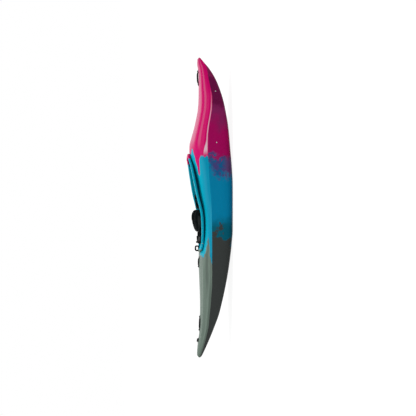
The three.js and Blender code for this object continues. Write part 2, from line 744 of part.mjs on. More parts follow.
// Seat hanger: an open frame between the seat's wall and the coaming
function seatHanger() {
  const [front, rear] = [seatFront + hangerFrontAhead, seatFront - hangerRearBehind];
  const [topFront, topRear] = [rimTopAt(front) - hangerUnderRim, rimTopAt(rear) - hangerUnderRim];
  const low = seatTop - hangerOverlap;
  const shape = new THREE.Shape([
    new THREE.Vector2(rear - hangerFootSpread, low), new THREE.Vector2(front + hangerFootSpread, low),
    new THREE.Vector2(front, topFront), new THREE.Vector2(rear, topRear),
  ]);
  const frame = hangerFrame;
  const [gusset, bar] = [frame * hangerGussetShare, frame * hangerTopShare];
  shape.holes.push(new THREE.Path([
    new THREE.Vector2(rear + frame, seatTop + frame / 2),
    new THREE.Vector2(front - frame / 2, seatTop + frame / 2),
    new THREE.Vector2(front - frame, topFront - gusset),
    new THREE.Vector2(front - gusset, topFront - bar),
    new THREE.Vector2(rear + gusset, topRear - bar),
    new THREE.Vector2(rear + frame, topRear - gusset),
  ]));
  const inner = seatHalfWidth + runGap;
  const plate = sideways(shape, inner, inner + hangerThickness);
  const inside = upright(cockpitOutline(-fitGap), 0, hullDepth);
  const holes = [seatBoltHole(), ...hangerBoltPlaces().map((p) => hangerBoltHole(p))];
  return cut(common(plate, inside), ...holes);
}

function seatBoltHole() {
  const start = new THREE.Vector3(seatBolt.x, seatHalfWidth, seatBolt.z);
  return standOn(boltHole(hangerThickness + cutOverrun, 0), start, INWARD);
}

function hangerBoltPlaces() {
  const margin = hangerFrame * hangerBoltShare;
  return [seatFront - hangerRearBehind + margin, seatFront + hangerFrontAhead - margin].map((x) =>
    new THREE.Vector3(x, seatHalfWidth + runGap - fitGap, rimTopAt(x) - hangerUnderRim - margin));
}

const hangerBoltHole = (place) => standOn(boltHole(hangerThickness + coamingWall, 0), place, INWARD);
const hangerBolt = (place) => standOn(bolt(hangerBoltReach), place, INWARD);

// Backband: its outer face in plan is a half ellipse with a straight wing at each end
const bandMiddle = seatCentre + bandCentre;

function bandPoint(u) {
  const bend = 1 - bandWingShare;
  if (Math.abs(u) > bend) {
    const along = ((Math.abs(u) - bend) / bandWingShare) * bandWing;
    return { x: bandMiddle + along, y: Math.sign(u) * bandHalfWidth, nx: 0, ny: Math.sign(u) };
  }
  const turn = (u / bend) * (Math.PI / 2);
  const [c, s] = [Math.cos(turn), Math.sin(turn)];
  const normal = new THREE.Vector2(-c / bandReach, s / bandHalfWidth).normalize();
  return { x: bandMiddle - bandReach * c, y: bandHalfWidth * s, nx: normal.x, ny: normal.y };
}

// Lower and upper edge of the backband at a place of its plan
function bandEdges(u) {
  const { x } = bandPoint(u);
  const back = Math.max(0, (bandMiddle - x) / bandReach);
  const nose = Math.max(0, (Math.abs(u) - (1 - bandNoseShare)) / bandNoseShare);
  const corner = bandHeight * bandNoseDropShare * (1 - Math.sqrt(1 - nose * nose * bandNoseFullShare));
  const top = rimTopAt(x) + bandOverRim - bandBackDrop * back * back;
  const foot = rimTopAt(bandMiddle) + bandOverRim - bandHeight;
  return { low: foot + corner * bandNoseFootShare, high: top - corner, nose };
}

const bandPlaces = Array.from({ length: bandSteps + 1 }, (_, i) => (2 * i) / bandSteps - 1);
const framePlaces = bandPlaces.filter((u) => Math.abs(u) < 1 - bandWingShare);

function bandPad() {
  return loft(bandPlaces.map((u) => {
    const p = bandPoint(u);
    const { low, high, nose } = bandEdges(u);
    const thick = bandThickness * (1 - bandNoseThinShare * nose ** 3);
    return padSectionShares.map(([inward, up]) => new THREE.Vector3(
      p.x - p.nx * inward * thick, p.y - p.ny * inward * thick, low + (high - low) * up));
  }));
}

function bandFrame(gap) {
  return loft(framePlaces.map((u) => {
    const p = bandPoint(u);
    const { low, high } = bandEdges(u);
    const [middle, half] = [(low + high) / 2, ((high - low) * frameHeightShare) / 2 + gap];
    const [near, far] = [fitGap - gap, fitGap + frameThickness + gap];
    return [[near, -half], [far, -half], [far, half], [near, half]].map(([out, up]) =>
      new THREE.Vector3(p.x + p.nx * out, p.y + p.ny * out, middle + up));
  }));
}

// Straps and ratchets
const ratchetMiddle = seatCentre - ratchetAft;
const strapHeightAtMiddle = rimTopAt(ratchetMiddle) - strapUnderRim;
const strapEnd = ratchetMiddle - ratchetLength / 2 - strapTail;

function strap() {
  const [low, high] = [strapHeightAtMiddle - strapHeight / 2, strapHeightAtMiddle + strapHeight / 2];
  const inner = strapPlace - strapThickness / 2;
  const strip = block([strapEnd, inner, low], [bandMiddle - bandReach / 2, inner + strapThickness, high]);
  const behind = upright([
    new THREE.Vector2(strapEnd - cutOverrun, 0), ...framePlaces.map((u) => {
      const p = bandPoint(u);
      const out = 2 * fitGap + frameThickness;
      return new THREE.Vector2(p.x + p.nx * out, p.y + p.ny * out);
    }).filter((p) => p.y > 0), new THREE.Vector2(strapEnd - cutOverrun, bandHalfWidth),
  ], 0, hullDepth);
  return common(strip, behind);
}

function ratchetBase() {
  const [rear, front] = [ratchetMiddle - ratchetLength / 2, ratchetMiddle + ratchetLength / 2];
  const half = strapHeight / 2 + runGap;
  const [low, high] = [strapHeightAtMiddle - half, strapHeightAtMiddle + half];
  const inner = strapPlace - strapThickness / 2 - ratchetReach;
  const whole = block([rear, inner, low - ratchetFlange], [front, cockpitWidth / 2, high + ratchetFlange]);
  const passage = block([rear - cutOverrun, inner - cutOverrun, low],
    [front + cutOverrun, strapPlace + strapThickness / 2 + runGap, high]);
  const inside = upright(cockpitOutline(-fitGap), 0, hullDepth);
  const pinRing = ringPoints(leverPin(), leverPinRadius + fitGap);
  const pinHole = upright(pinRing, low - cutOverrun, high + cutOverrun);
  return cut(common(whole, inside), passage, pinHole);
}

const leverPin = () =>
  new THREE.Vector2(ratchetMiddle + leverPinAhead, strapPlace - strapThickness / 2 - leverPinInboard);

function ringPoints(centre, radius) {
  return Array.from({ length: boltSides }, (_, i) => {
    const turn = (2 * Math.PI * i) / boltSides;
    return new THREE.Vector2(centre.x + radius * Math.cos(turn), centre.y + radius * Math.sin(turn));
  });
}

// Ratchet lever: a bar on a pin, with a thumb tab that rises past the buckle
function ratchetLever() {
  const half = strapHeight / 2;
  const [low, high] = [strapHeightAtMiddle - half, strapHeightAtMiddle + half];
  const pin = leverPin();
  const side = leverThickness / 2;
  const bar = roundedShape(pin.x - leverLength - side, pin.y - side, pin.x + side, pin.y + side,
    side * slotRoundShare);
  const over = runGap + ratchetFlange;
  const axle = upright(ringPoints(pin, leverPinRadius), low - over, high + over);
  const top = rimTopAt(ratchetMiddle) + ratchetOverRim;
  const tab = block([pin.x - leverLength - leverTabLength, pin.y - side, low],
    [pin.x - leverLength + side, pin.y + side, top]);
  return joined(standing(bar, low, high), axle, tab);
}

// Webbing loop that stands on the back of the coaming, its tail down the inner wall
function pullLoop() {
  const wall = rimRear + rimLip;
  const rest = rimTopAt(wall) + fitGap * 2;
  const [rear, front] = [wall - loopLength / 2, wall + loopLength / 2];
  const shape = roundedShape(rear, rest, front, rest + loopHeight, loopHeight * loopRoundShare);
  const inner = roundedShape(rear + loopThickness, rest + loopThickness, front - loopThickness,
    rest + loopHeight - loopThickness, loopHeight * loopRoundShare - loopThickness);
  shape.holes.push(new THREE.Path(inner.getPoints(5)));
  const ring = sideways(shape, -loopWidth / 2, loopWidth / 2);
  const near = wall + loopStandOff;
  const tail = block([near, -loopWidth / 2, rest - loopTail],
    [near + loopThickness, loopWidth / 2, rest + loopThickness / 2]);
  return joined(ring, tail);
}

// Thigh braces, made on a plane that tilts up to the bow, then stood in place
const thighX = cockpitCentre + thighAhead;
const thighPitch = THREE.MathUtils.degToRad(-thighTilt);
const thighZ = deckTopAt(thighX, thighMountPlace) - shellWall - thighMountHeight;
const placeThigh = (geometry) => geometry.rotateY(thighPitch).translate(thighX, 0, thighZ);

function thighOutline(shrink) {
  const [inner, outer] = [thighInner + shrink, thighOuter - shrink];
  const length = thighLength - 2 * shrink;
  return thighOutlineShares.map(([along, across]) =>
    new THREE.Vector2(along * length, inner + (outer - inner) * across));
}

function thighBrace() {
  const section = [
    new THREE.Vector2(thighOuter, 0), new THREE.Vector2(thighOuter, -thighThickness),
    new THREE.Vector2(thighInner + thighHook * thighHookInsideShare, -thighThickness),
    new THREE.Vector2(thighInner + thighThickness, -thighHook), new THREE.Vector2(thighInner, -thighHook),
    new THREE.Vector2(thighInner, -thighHook * thighHookFaceShare),
    new THREE.Vector2(thighInner + thighHook * thighHookTopShare, 0),
  ];
  const bar = lengthways(section, -thighLength / 2, thighLength / 2);
  const leaf = upright(thighOutline(0), -thighHook - cutOverrun, cutOverrun);
  const radius = boltShankRadius + runGap;
  const reach = thighTravel + radius;
  const slot = roundedShape(-reach, thighMountPlace - radius, reach, thighMountPlace + radius,
    radius * slotRoundShare);
  return placeThigh(cut(common(bar, leaf), standing(slot, -cutOverrun, cutOverrun)));
}

function thighPad() {
  const outline = thighOutline(thighPadMargin);
  const limit = thighInner + thighHook;
  const kept = outline.map((p) =>
    new THREE.Vector2(p.x, THREE.MathUtils.clamp(p.y, limit, limit + thighPadWidth)));
  const top = -thighThickness - fitGap;
  return placeThigh(upright(kept, top - thighPadThickness, top));
}

function thighMount(innerBody) {
  const [length, width] = [thighMountLength / 2, thighMountWidth / 2];
  const raised = placeThigh(block([-length, thighMountPlace - width, runGap],
    [length, thighMountPlace + width, thighMountHeight + cutOverrun]));
  const hole = placeThigh(boltHole(0, thighBoltReach).translate(0, thighMountPlace, 0));
  return cut(common(raised, innerBody), hole);
}

function thighBolt() {
  const upward = bolt(thighThickness + thighMountHeight * boltBiteShare).rotateX(Math.PI);
  return placeThigh(upward.translate(0, thighMountPlace, -thighThickness - runGap));
}

// Foot braces: a straight rail that stands off the hull's side, and a pedal that slides on it
const railLow = railHeight - railBarHeight / 2;
const railLine = [railRearShare, railFrontShare].map((share) => {
  const x = share * halfLength;
  return new THREE.Vector3(x, sideAt(x, railLow) - shellWall - railStandOff, railHeight);
});
const railSpan = railLine[0].distanceTo(railLine[1]);
const railMiddle = railLine[0].clone().add(railLine[1]).divideScalar(2);
const railYaw = Math.atan2(railLine[1].y - railLine[0].y, railLine[1].x - railLine[0].x);
const placeRail = (geometry) => geometry.rotateZ(railYaw).translate(...railMiddle.toArray());

function railBar(gap) {
  const reach = railSpan / 2 + railEndMargin;
  const half = railBarHeight / 2 + gap;
  return block([-reach, -railBarThickness - gap, -half], [reach, gap, half]);
}

function footRail() {
  const feet = [-1, 1].map((end) => {
    const x = (end * railSpan) / 2;
    return block([x - railFootLength / 2, -fitGap, -railBarHeight / 2],
      [x + railFootLength / 2, railFootReach, railBarHeight / 2]);
  });
  const holes = railBoltPlaces().map(({ point, normal }) =>
    standOn(boltHole(railBoltReach + cutOverrun, cutOverrun), point, normal));
  return cut(common(placeRail(joined(railBar(0), ...feet)), hullRoom(fitGap)), ...holes);
}

function railBoltPlaces() {
  return railLine.map(({ x }) => {
    const step = boltHeadRadius;
    const along = (sideAt(x + step, railHeight) - sideAt(x - step, railHeight)) / (2 * step);
    const upward = (sideAt(x, railHeight + step) - sideAt(x, railHeight - step)) / (2 * step);
    const normal = new THREE.Vector3(-along, 1, -upward).normalize();
    return { point: new THREE.Vector3(x, sideAt(x, railHeight), railHeight), normal };
  });
}

// Bolt seated on the outside of the hull, its head trimmed to the hull's face
function hullBolt({ point, normal }, outerBody) {
  const head = turned([
    [0, -boltHeadSink], [boltHeadRadius, -boltHeadSink], [boltHeadRadius, boltHeadHeight * boltRimShare],
    [boltHeadRadius * boltCrownShare, boltHeadHeight], [0, boltHeadHeight],
  ], boltSides);
  const shank = turned([
    [0, -railBoltReach], [boltShankRadius, -railBoltReach],
    [boltShankRadius, boltHeadHeight / 2], [0, boltHeadHeight / 2],
  ], boltSides);
  return joined(cut(standOn(head, point, normal), outerBody), standOn(shank, point, normal));
}

function footPedal() {
  const near = -railBarThickness - runGap;
  const lip = railBarHeight / 2 + runGap + pedalLip;
  const carriage = cut(block([-pedalCarriageLength / 2, near - pedalCarriageThickness, -lip],
    [pedalCarriageLength / 2, near + pedalGrip, lip]), railBar(runGap));
  const outer = near - pedalCarriageThickness / 2;
  const plate = roundedPlate(outer - pedalWidth, -pedalDrop, outer, pedalHeight - pedalDrop);
  return placeRail(joined(carriage, plate));
}

function roundedPlate(y0, z0, y1, z1) {
  const outline = roundedShape(y0, z0, y1, z1, pedalCornerRadius).getPoints(3);
  return lengthways(outline, -pedalThickness / 2, pedalThickness / 2);
}

function pillar(rear, front, innerBody) {
  const half = pillarThickness / 2;
  return common(block([rear, -half, 0], [front, half, hullDepth]), innerBody);
}

// Assembly
const shellColours = [0xd7026d, 0x04b1c9, 0x708279].map((c) => new THREE.Color(c)); // bow, middle, stern
const finishes = {
  shell: { color: 0xffffff, roughness: 0.34, vertexColors: true },
  black_plastic: { color: 0x0b1312, roughness: 0.5 },
  foam: { color: 0x15191a, roughness: 0.92 },
  seal: { color: 0x15191a, roughness: 0.8 },
  webbing: { color: 0x101414, roughness: 0.88 },
  steel: { color: 0x8b9090, roughness: 0.3, metalness: 1 },
  rail: { color: 0x8b9090, roughness: 0.4, metalness: 1 },
};
const kayak = new THREE.Group();

function add(name, geometry, finish) {
  const mesh = new THREE.Mesh(geometry, new THREE.MeshStandardMaterial(finishes[finish]));
  mesh.name = name;
  kayak.add(mesh);
}

// Plastic that changes from pink at the bow through blue to grey at the stern
function mouldedShell(name, geometry) {
  const [bow, middle, stern] = shellColours;
  const place = geometry.getAttribute("position");
  const paint = new Float32Array(place.count * 3);
  for (let i = 0; i < place.count; i += 1) {
    const share = place.getX(i) / halfLength;
    const colour = share > pinkFromShare ? bow : share < greyFromShare ? stern : middle;
    colour.toArray(paint, i * 3);
  }
  geometry.setAttribute("color", new THREE.BufferAttribute(paint, 3));
  add(name, geometry, "shell");
}

const outerBody = boatBody(-fitGap, 1);
const innerBody = boatBody(shellWall + fitGap, hollowReachShare);
const sides = [["left", 1], ["right", -1]];
const ends = ["rear", "front"];

const drain = drainFrame();
const standDrain = (geometry) => standOn(geometry, drain.point, drain.normal);
const drainHole = standDrain(turned([
  [0, -drainTubeLength - cutOverrun], [drainTubeRadius + fitGap, -drainTubeLength - cutOverrun],
  [drainTubeRadius + fitGap, cutOverrun], [0, cutOverrun],
], drainSides));
const handleHoles = Object.values(handles).flatMap((part) => deckBoltPlaces(part).map((p) =>
  standOn(boltHole(handleBoltReach + cutOverrun, cutOverrun), p, handleFrame(part).normal)));
const onBothSides = (hole) => [hole, acrossBoat(hole)];
const hullHoles = railBoltPlaces().flatMap(({ point, normal }) =>
  onBothSides(standOn(boltHole(railBoltReach, cutOverrun), point, normal)));
const coamingHoles = hangerBoltPlaces().flatMap((p) => onBothSides(hangerBoltHole(p)));

mouldedShell("hull_shell", cut(hullShell(), ...hullHoles));
mouldedShell("deck_shell", cut(deckShell(), ...handleHoles, drainHole));
mouldedShell("cockpit_coaming", cut(coaming(), ...coamingHoles));

Object.entries(handles).forEach(([name, part]) => {
  add(name, deckHandle(part, outerBody), "black_plastic");
  deckBoltPlaces(part).forEach((p, i) => {
    const { normal } = handleFrame(part);
    const place = p.clone().addScaledVector(normal, fitGap);
    add(`${name}_bolt_${ends[i]}`, standOn(bolt(handleBoltReach), place, normal), "steel");
  });
});

add("drain_seat", cut(standDrain(drainSeat()), cut(outerBody, drainHole)), "black_plastic");
add("drain_seal", standDrain(drainSeal()), "seal");
add("drain_plug", standDrain(drainPlug()), "black_plastic");

add("seat_pan", seatPan(), "black_plastic");
add("seat_pad", seatPad(), "foam");
add("backband_pad", bandPad(), "foam");
add("backband_frame", bandFrame(0), "black_plastic");
add("rear_pull_loop", pullLoop(), "webbing");
add("bow_pillar", pillar(rimFront + bowPillarGap, bowPillarEndShare * halfLength, innerBody), "foam");
add("stern_pillar", pillar(sternPillarEndShare * halfLength, rimRear - sternPillarGap, innerBody), "foam");

sides.forEach(([name, side]) => {
  const put = (piece, geometry, finish) => add(`${piece}_${name}`, onSide(side, geometry), finish);
  put("hip_pad", hipPad(), "foam");
  put("seat_bolt", seatBoltPiece(), "steel");
  put("seat_hanger", seatHanger(), "black_plastic");
  hangerBoltPlaces().forEach((p, i) => {
    put(`hanger_bolt_${ends[i]}`, hangerBolt(p), "steel");
  });
  put("backband_strap", strap(), "webbing");
  put("ratchet_base", ratchetBase(), "black_plastic");
  put("ratchet_lever", ratchetLever(), "black_plastic");
  put("thigh_brace", thighBrace(), "black_plastic");
  put("thigh_pad", thighPad(), "foam");
  put("thigh_mount", thighMount(innerBody), "black_plastic");
  put("thigh_bolt", thighBolt(), "steel");
  put("foot_rail", footRail(), "rail");
  railBoltPlaces().forEach((place, i) => {
    put(`rail_bolt_${ends[i]}`, hullBolt(place, outerBody), "steel");
  });
  put("foot_pedal", footPedal(), "black_plastic");
});

export default kayak;
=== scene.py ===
import json
import math

import bmesh
import bpy
import numpy as np
from mathutils import Matrix, Vector
from mathutils.bvhtree import BVHTree

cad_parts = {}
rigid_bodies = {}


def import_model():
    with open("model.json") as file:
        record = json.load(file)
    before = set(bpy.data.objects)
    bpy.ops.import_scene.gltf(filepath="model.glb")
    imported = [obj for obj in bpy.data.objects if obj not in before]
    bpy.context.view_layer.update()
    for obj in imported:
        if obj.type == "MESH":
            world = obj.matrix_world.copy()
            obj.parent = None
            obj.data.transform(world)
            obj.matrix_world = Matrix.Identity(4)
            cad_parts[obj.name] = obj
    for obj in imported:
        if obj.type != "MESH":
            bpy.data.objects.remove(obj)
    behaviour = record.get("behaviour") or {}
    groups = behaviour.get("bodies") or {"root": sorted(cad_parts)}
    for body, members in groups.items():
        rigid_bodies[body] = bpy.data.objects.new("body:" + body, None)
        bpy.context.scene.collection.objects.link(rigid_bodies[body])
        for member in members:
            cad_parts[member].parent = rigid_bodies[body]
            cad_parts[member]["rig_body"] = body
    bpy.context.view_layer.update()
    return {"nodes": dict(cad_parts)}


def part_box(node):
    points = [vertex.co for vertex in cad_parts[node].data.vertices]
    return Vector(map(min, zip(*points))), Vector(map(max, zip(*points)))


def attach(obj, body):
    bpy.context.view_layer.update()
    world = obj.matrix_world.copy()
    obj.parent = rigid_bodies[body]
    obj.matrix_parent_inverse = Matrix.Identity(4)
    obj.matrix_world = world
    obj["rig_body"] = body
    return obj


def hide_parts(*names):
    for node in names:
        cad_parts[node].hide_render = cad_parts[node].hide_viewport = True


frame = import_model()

# The boat's own sizes
HULL_LENGTH = 2.75
HULL_BEAM = 0.66
HULL_DEPTH = 0.397
HALF_LENGTH = HULL_LENGTH / 2
HALF_BEAM = HULL_BEAM / 2
SHELL_WALL = 0.006
FIT_GAP = 0.0003
NOSE_ROUND = 0.02  # length of each rounded tip

# Lines of the boat. First number: place along the half length, from -1 at the stern to 1 at the bow;
# second: height as a share of the depth, or width as a share of the beam.
KEEL_SHARES = [
    (-1, 0.685), (-0.977, 0.65), (-0.91, 0.554), (-0.844, 0.463), (-0.777, 0.376), (-0.71, 0.295),
    (-0.644, 0.24), (-0.51, 0.145), (-0.377, 0.074), (-0.24, 0.022), (-0.14, 0), (0.14, 0),
    (0.257, 0.018), (0.39, 0.053), (0.524, 0.09), (0.657, 0.16), (0.724, 0.21), (0.79, 0.28),
    (0.857, 0.373), (0.924, 0.509), (0.957, 0.6), (0.985, 0.675), (1, 0.7),
]
KNUCKLE_SHARES = [
    (-1, 0.715), (-0.977, 0.69), (-0.91, 0.63), (-0.844, 0.579), (-0.777, 0.539), (-0.71, 0.521),
    (-0.577, 0.491), (-0.51, 0.48), (-0.377, 0.486), (-0.076, 0.501), (0.057, 0.519), (0.124, 0.539),
    (0.257, 0.569), (0.357, 0.582), (0.457, 0.577), (0.524, 0.554), (0.59, 0.511), (0.657, 0.474),
    (0.724, 0.466), (0.79, 0.501), (0.857, 0.539), (0.924, 0.569), (0.967, 0.635), (1, 0.72),
]
RIDGE_SHARES = [
    (-1, 0.748), (-0.977, 0.771), (-0.91, 0.756), (-0.844, 0.723), (-0.777, 0.705), (-0.644, 0.7),
    (-0.51, 0.713), (-0.377, 0.728), (-0.34, 0.724), (-0.33, 0.72), (-0.312, 0.735), (-0.3, 0.708),
    (-0.277, 0.668), (-0.24, 0.675), (-0.159, 0.685), (-0.023, 0.742), (0.08, 0.83), (0.183, 0.866),
    (0.268, 0.91), (0.33, 0.945), (0.357, 0.946), (0.378, 0.948), (0.41, 0.947), (0.457, 0.909),
    (0.524, 0.844), (0.59, 0.793), (0.657, 0.752), (0.724, 0.737), (0.79, 0.735), (0.857, 0.735),
    (0.924, 0.752), (0.957, 0.768), (0.985, 0.763), (1, 0.745),
]
BEAM_SHARES = [
    (-1, 0.05), (-0.99, 0.1), (-0.977, 0.155), (-0.91, 0.325), (-0.844, 0.43), (-0.777, 0.51),
    (-0.71, 0.576), (-0.644, 0.652), (-0.577, 0.715), (-0.444, 0.824), (-0.277, 0.933),
    (-0.143, 0.985), (0, 1), (0.12, 1), (0.257, 0.976), (0.39, 0.924), (0.524, 0.833),
    (0.657, 0.71), (0.79, 0.535), (0.857, 0.425), (0.924, 0.29), (0.967, 0.18), (0.99, 0.1), (1, 0.05),
]
RIM_TOP_SHARES = [
    (-0.3, 0.711), (-0.24, 0.718), (-0.159, 0.73), (-0.023, 0.762), (0.08, 0.813), (0.183, 0.869),
    (0.268, 0.932), (0.328, 1),
]
LIP_TOP_SHARES = [
    (-0.3, 0.713), (-0.24, 0.708), (-0.18, 0.707), (-0.116, 0.713), (-0.05, 0.73), (0.017, 0.777),
    (0.08, 0.832), (0.15, 0.88), (0.218, 0.922), (0.284, 0.963), (0.328, 1),
]

# Sections of the boat. First number: place across, as a share of the half width; second: height as a
# share of the way from the keel to the knuckle in the hull, and from there to the ridge in the deck.
HULL_SECTION_SHARES = [
    (0, 0), (0.36, 0), (0.66, 0), (0.77, 0.045), (0.85, 0.16), (0.9, 0.34), (0.95, 0.65), (1, 1),
]
DECK_SECTION_SHARES = [
    (0, 1), (0.22, 0.965), (0.45, 0.86), (0.66, 0.68), (0.82, 0.46), (0.93, 0.22), (1, 0),
]

# Raised lines pressed into the deck: where they start and end along the boat, their place across it
# as a share of the half width, how wide they are and how high they stand
DECK_RIDGES = [
    {"from": 0.50, "to": 1.22, "across": 0.62, "spread": 0.12, "height": 0.0045},
    {"from": 0.42, "to": 1.10, "across": 0.94, "spread": 0.03, "height": 0.004},
    {"from": -1.28, "to": -0.46, "across": 0.64, "spread": 0.09, "height": 0.0075},
    {"from": -1.28, "to": -0.42, "across": 0.81, "spread": 0.06, "height": -0.006},
    {"from": -1.30, "to": -0.36, "across": 0.94, "spread": 0.03, "height": 0.004},
]
RIDGE_FADE = 0.16

# Cockpit
COCKPIT_CENTRE = 0.029 * HALF_LENGTH
COCKPIT_LENGTH = 0.903
COCKPIT_WIDTH = 0.496
RIM_LIP = 0.038
RIM_DROP = 0.003
RIM_EDGE = 0.018
RIM_CLEARANCE = 0.002  # kept between its lip and the deck
REAR_ARCH = 0.014  # how much higher its back is in the middle
REAR_ARCH_REACH = 0.17
REAR_ARCH_FROM = -0.3
REAR_ARCH_FULL = -0.365
COAMING_WALL = 0.006
COAMING_SKIRT = 0.014
RIM_ROUND_POWER = 0.85
RIM_EGG_SHARE = 0.12
RIM_REAR = COCKPIT_CENTRE - COCKPIT_LENGTH / 2

# Handles and the security bar, each over its own recess
HANDLES = {
    "bow_handle": {
        "place": 0.863 * HALF_LENGTH, "length": 0.15, "width": 0.025, "foot": 0.03,
        "rise": 0.0155, "thick": 0.0165,
    },
    "stern_handle": {
        "place": -0.771 * HALF_LENGTH, "length": 0.15, "width": 0.025, "foot": 0.03,
        "rise": 0.0095, "thick": 0.018,
    },
    "security_bar": {
        "place": RIM_REAR - 0.086, "length": 0.112, "width": 0.022, "foot": 0.026,
        "rise": 0.0125, "thick": 0.013,
    },
}
RECESS_DEPTH = 0.031
RECESS_WIDTH = 0.074
RECESS_MARGIN = 0.003
RECESSES = [(part["place"], part["length"] - part["foot"] - RECESS_MARGIN) for part in HANDLES.values()]


def follow(shares, at):
    """Smooth curve through given points that never overshoots them."""
    x, y = np.array(shares, float).T
    grade = np.diff(y) / np.diff(x)
    product = grade[:-1] * grade[1:]
    total = np.where(product > 0, grade[:-1] + grade[1:], 1)
    slope = np.concatenate([grade[:1], np.where(product > 0, 2 * product / total, 0), grade[-1:]])
    at = np.clip(at, x[0], x[-1])
    i = np.clip(np.searchsorted(x, at, side="right") - 1, 0, len(x) - 2)
    span = x[i + 1] - x[i]
    t = (at - x[i]) / span
    ease = t * t * (3 - 2 * t)
    bend = span * t * (1 - t) * (slope[i] * (1 - t) - slope[i + 1] * t)
    return y[i] + (y[i + 1] - y[i]) * ease + bend


def keel_at(x):
    return HULL_DEPTH * follow(KEEL_SHARES, x / HALF_LENGTH)


def knuckle_at(x):
    return HULL_DEPTH * follow(KNUCKLE_SHARES, x / HALF_LENGTH)


def ridge_at(x):
    return HULL_DEPTH * follow(RIDGE_SHARES, x / HALF_LENGTH)


def half_width_at(x):
    return HALF_BEAM * follow(BEAM_SHARES, x / HALF_LENGTH)


def rim_top_at(x):
    return HULL_DEPTH * follow(RIM_TOP_SHARES, x / HALF_LENGTH)


def lip_top_at(x):
    return HULL_DEPTH * follow(LIP_TOP_SHARES, x / HALF_LENGTH)


def swell(u):
    return np.where(np.abs(u) < 1, (1 - u * u) ** 2, 0)


def coaming_top_at(x, y):
    arch = REAR_ARCH * ease_between(REAR_ARCH_FROM, REAR_ARCH_FULL, x) * swell(y / REAR_ARCH_REACH)
    return float(lip_top_at(x) + arch)


def recess_at(x, y):
    depths = [
        RECESS_DEPTH * swell((x - middle) / (length / 2)) * swell(y / (RECESS_WIDTH / 2))
        for middle, length in RECESSES
    ]
    return np.maximum.reduce(depths)


def ease_between(low, high, value):
    t = np.clip((value - low) / (high - low), 0, 1)
    return t * t * (3 - 2 * t)


def pressed_lines(x, across):
    """Height of the deck's raised lines."""
    total = 0
    for line in DECK_RIDGES:
        along = ease_between(line["from"], line["from"] + RIDGE_FADE, x)
        along = along * (1 - ease_between(line["to"] - RIDGE_FADE, line["to"], x))
        total = total + line["height"] * along * np.exp(-(((across - line["across"]) / line["spread"]) ** 2))
    return total


def deck_top_at(x, y):
    across = np.minimum(1, np.abs(y) / half_width_at(x))
    rise = ridge_at(x) - knuckle_at(x)
    plain = knuckle_at(x) + rise * follow(DECK_SECTION_SHARES, across)
    edge = 1 - across ** 24
    return plain + pressed_lines(x, across) * edge - recess_at(x, y)


def nose_share(x):
    """How much of its section is left at a place of a rounded tip."""
    q = np.clip((np.abs(x) - (HALF_LENGTH - NOSE_ROUND)) / NOSE_ROUND, 0, 1)
    return np.sqrt(np.maximum(0, 1 - q * q))


# Meshes
def new_object(name, mesh):
    item = bpy.data.objects.new(name, mesh)
    bpy.context.scene.collection.objects.link(item)
    return item


def mesh_of(name, points, faces):
    mesh = bpy.data.meshes.new(name)
    mesh.from_pydata([tuple(p) for p in points], [], [tuple(f) for f in faces])
    mesh.update()
    return mesh


def tidied(mesh, merge=1e-6):
    """Joins doubled points and turns all faces out."""
    bm = bmesh.new()
    bm.from_mesh(mesh)
    bmesh.ops.remove_doubles(bm, verts=bm.verts, dist=merge)
    bmesh.ops.dissolve_degenerate(bm, edges=bm.edges, dist=merge)
    bmesh.ops.recalc_face_normals(bm, faces=bm.faces)
    bm.to_mesh(mesh)
    bm.free()
    return mesh


def points_of(mesh):
    flat = np.zeros(3 * len(mesh.vertices))
    mesh.vertices.foreach_get("co", flat)
    return flat.reshape(-1, 3)


def move_points(mesh, points):
    mesh.vertices.foreach_set("co", np.asarray(points, float).ravel())
    mesh.update()


def ringed(name, rings, loop=False):
    """Closed body through rings of points: a bar with two ends, or a band joined to itself."""
    count = len(rings[0])
    points = [point for ring in rings for point in ring]
    faces = []
    for i in range(len(rings) if loop else len(rings) - 1):
        after = (i + 1) % len(rings) * count
        for j in range(count):
            k = (j + 1) % count
            faces.append((i * count + j, i * count + k, after + k, after + j))
    if not loop:
        faces.append(tuple(range(count)))
        faces.append(tuple(range(len(points) - count, len(points))))
    item = new_object(name, mesh_of(name, points, faces))
    tidied(item.data)
    return item


def smoothed(mesh, degrees):
    mesh.shade_smooth()
    mesh.set_sharp_from_angle(angle=math.radians(degrees))
    return mesh


def carried(mesh, name, values):
    """Gives a mesh a number of its own at each of its points."""
    numbers = mesh.attributes.new(name, "FLOAT", "POINT")
    numbers.data.foreach_set("value", np.asarray(values, np.float32))


def evaluated(item):
    """Replaces an object's mesh by what its modifiers make of it."""
    graph = bpy.context.evaluated_depsgraph_get()
    made = bpy.data.meshes.new_from_object(item.evaluated_get(graph))
    item.modifiers.clear()
    old = item.data
    item.data = made
    made.name = item.name
    if old.users == 0:
        bpy.data.meshes.remove(old)
    return item


def fitted(item, body, slot, *nodes):
    """Puts a piece on its body, in place of its nodes."""
    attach(item, body)
    if nodes:
        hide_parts(*nodes)
    return item


def dressed(item, body, slot, material, *nodes):
    """Gives a piece its finish and puts it on its body."""
    item.data.materials.clear()
    item.data.materials.append(material)
    return fitted(item, body, slot, *nodes)


# Node helpers
def feed(tree, target, value):
    """Sets a socket to a value or links an output to it."""
    if isinstance(value, bpy.types.NodeSocket):
        tree.links.new(value, target)
    else:
        target.default_value = value


def add_node(tree, kind, feeds=None, **settings):
    """Node with its settings and, by name or number, what goes into its sockets."""
    made = tree.nodes.new(kind)
    for key, value in settings.items():
        setattr(made, key, value)
    for key, value in (feeds or {}).items():
        feed(tree, made.inputs[key], value)
    return made


def math_node(tree, operation, *values, clamp=False):
    feeds = dict(enumerate(values))
    return add_node(tree, "ShaderNodeMath", feeds, operation=operation, use_clamp=clamp).outputs[0]


def times(tree, a, b, clamp=False):
    return math_node(tree, "MULTIPLY", a, b, clamp=clamp)


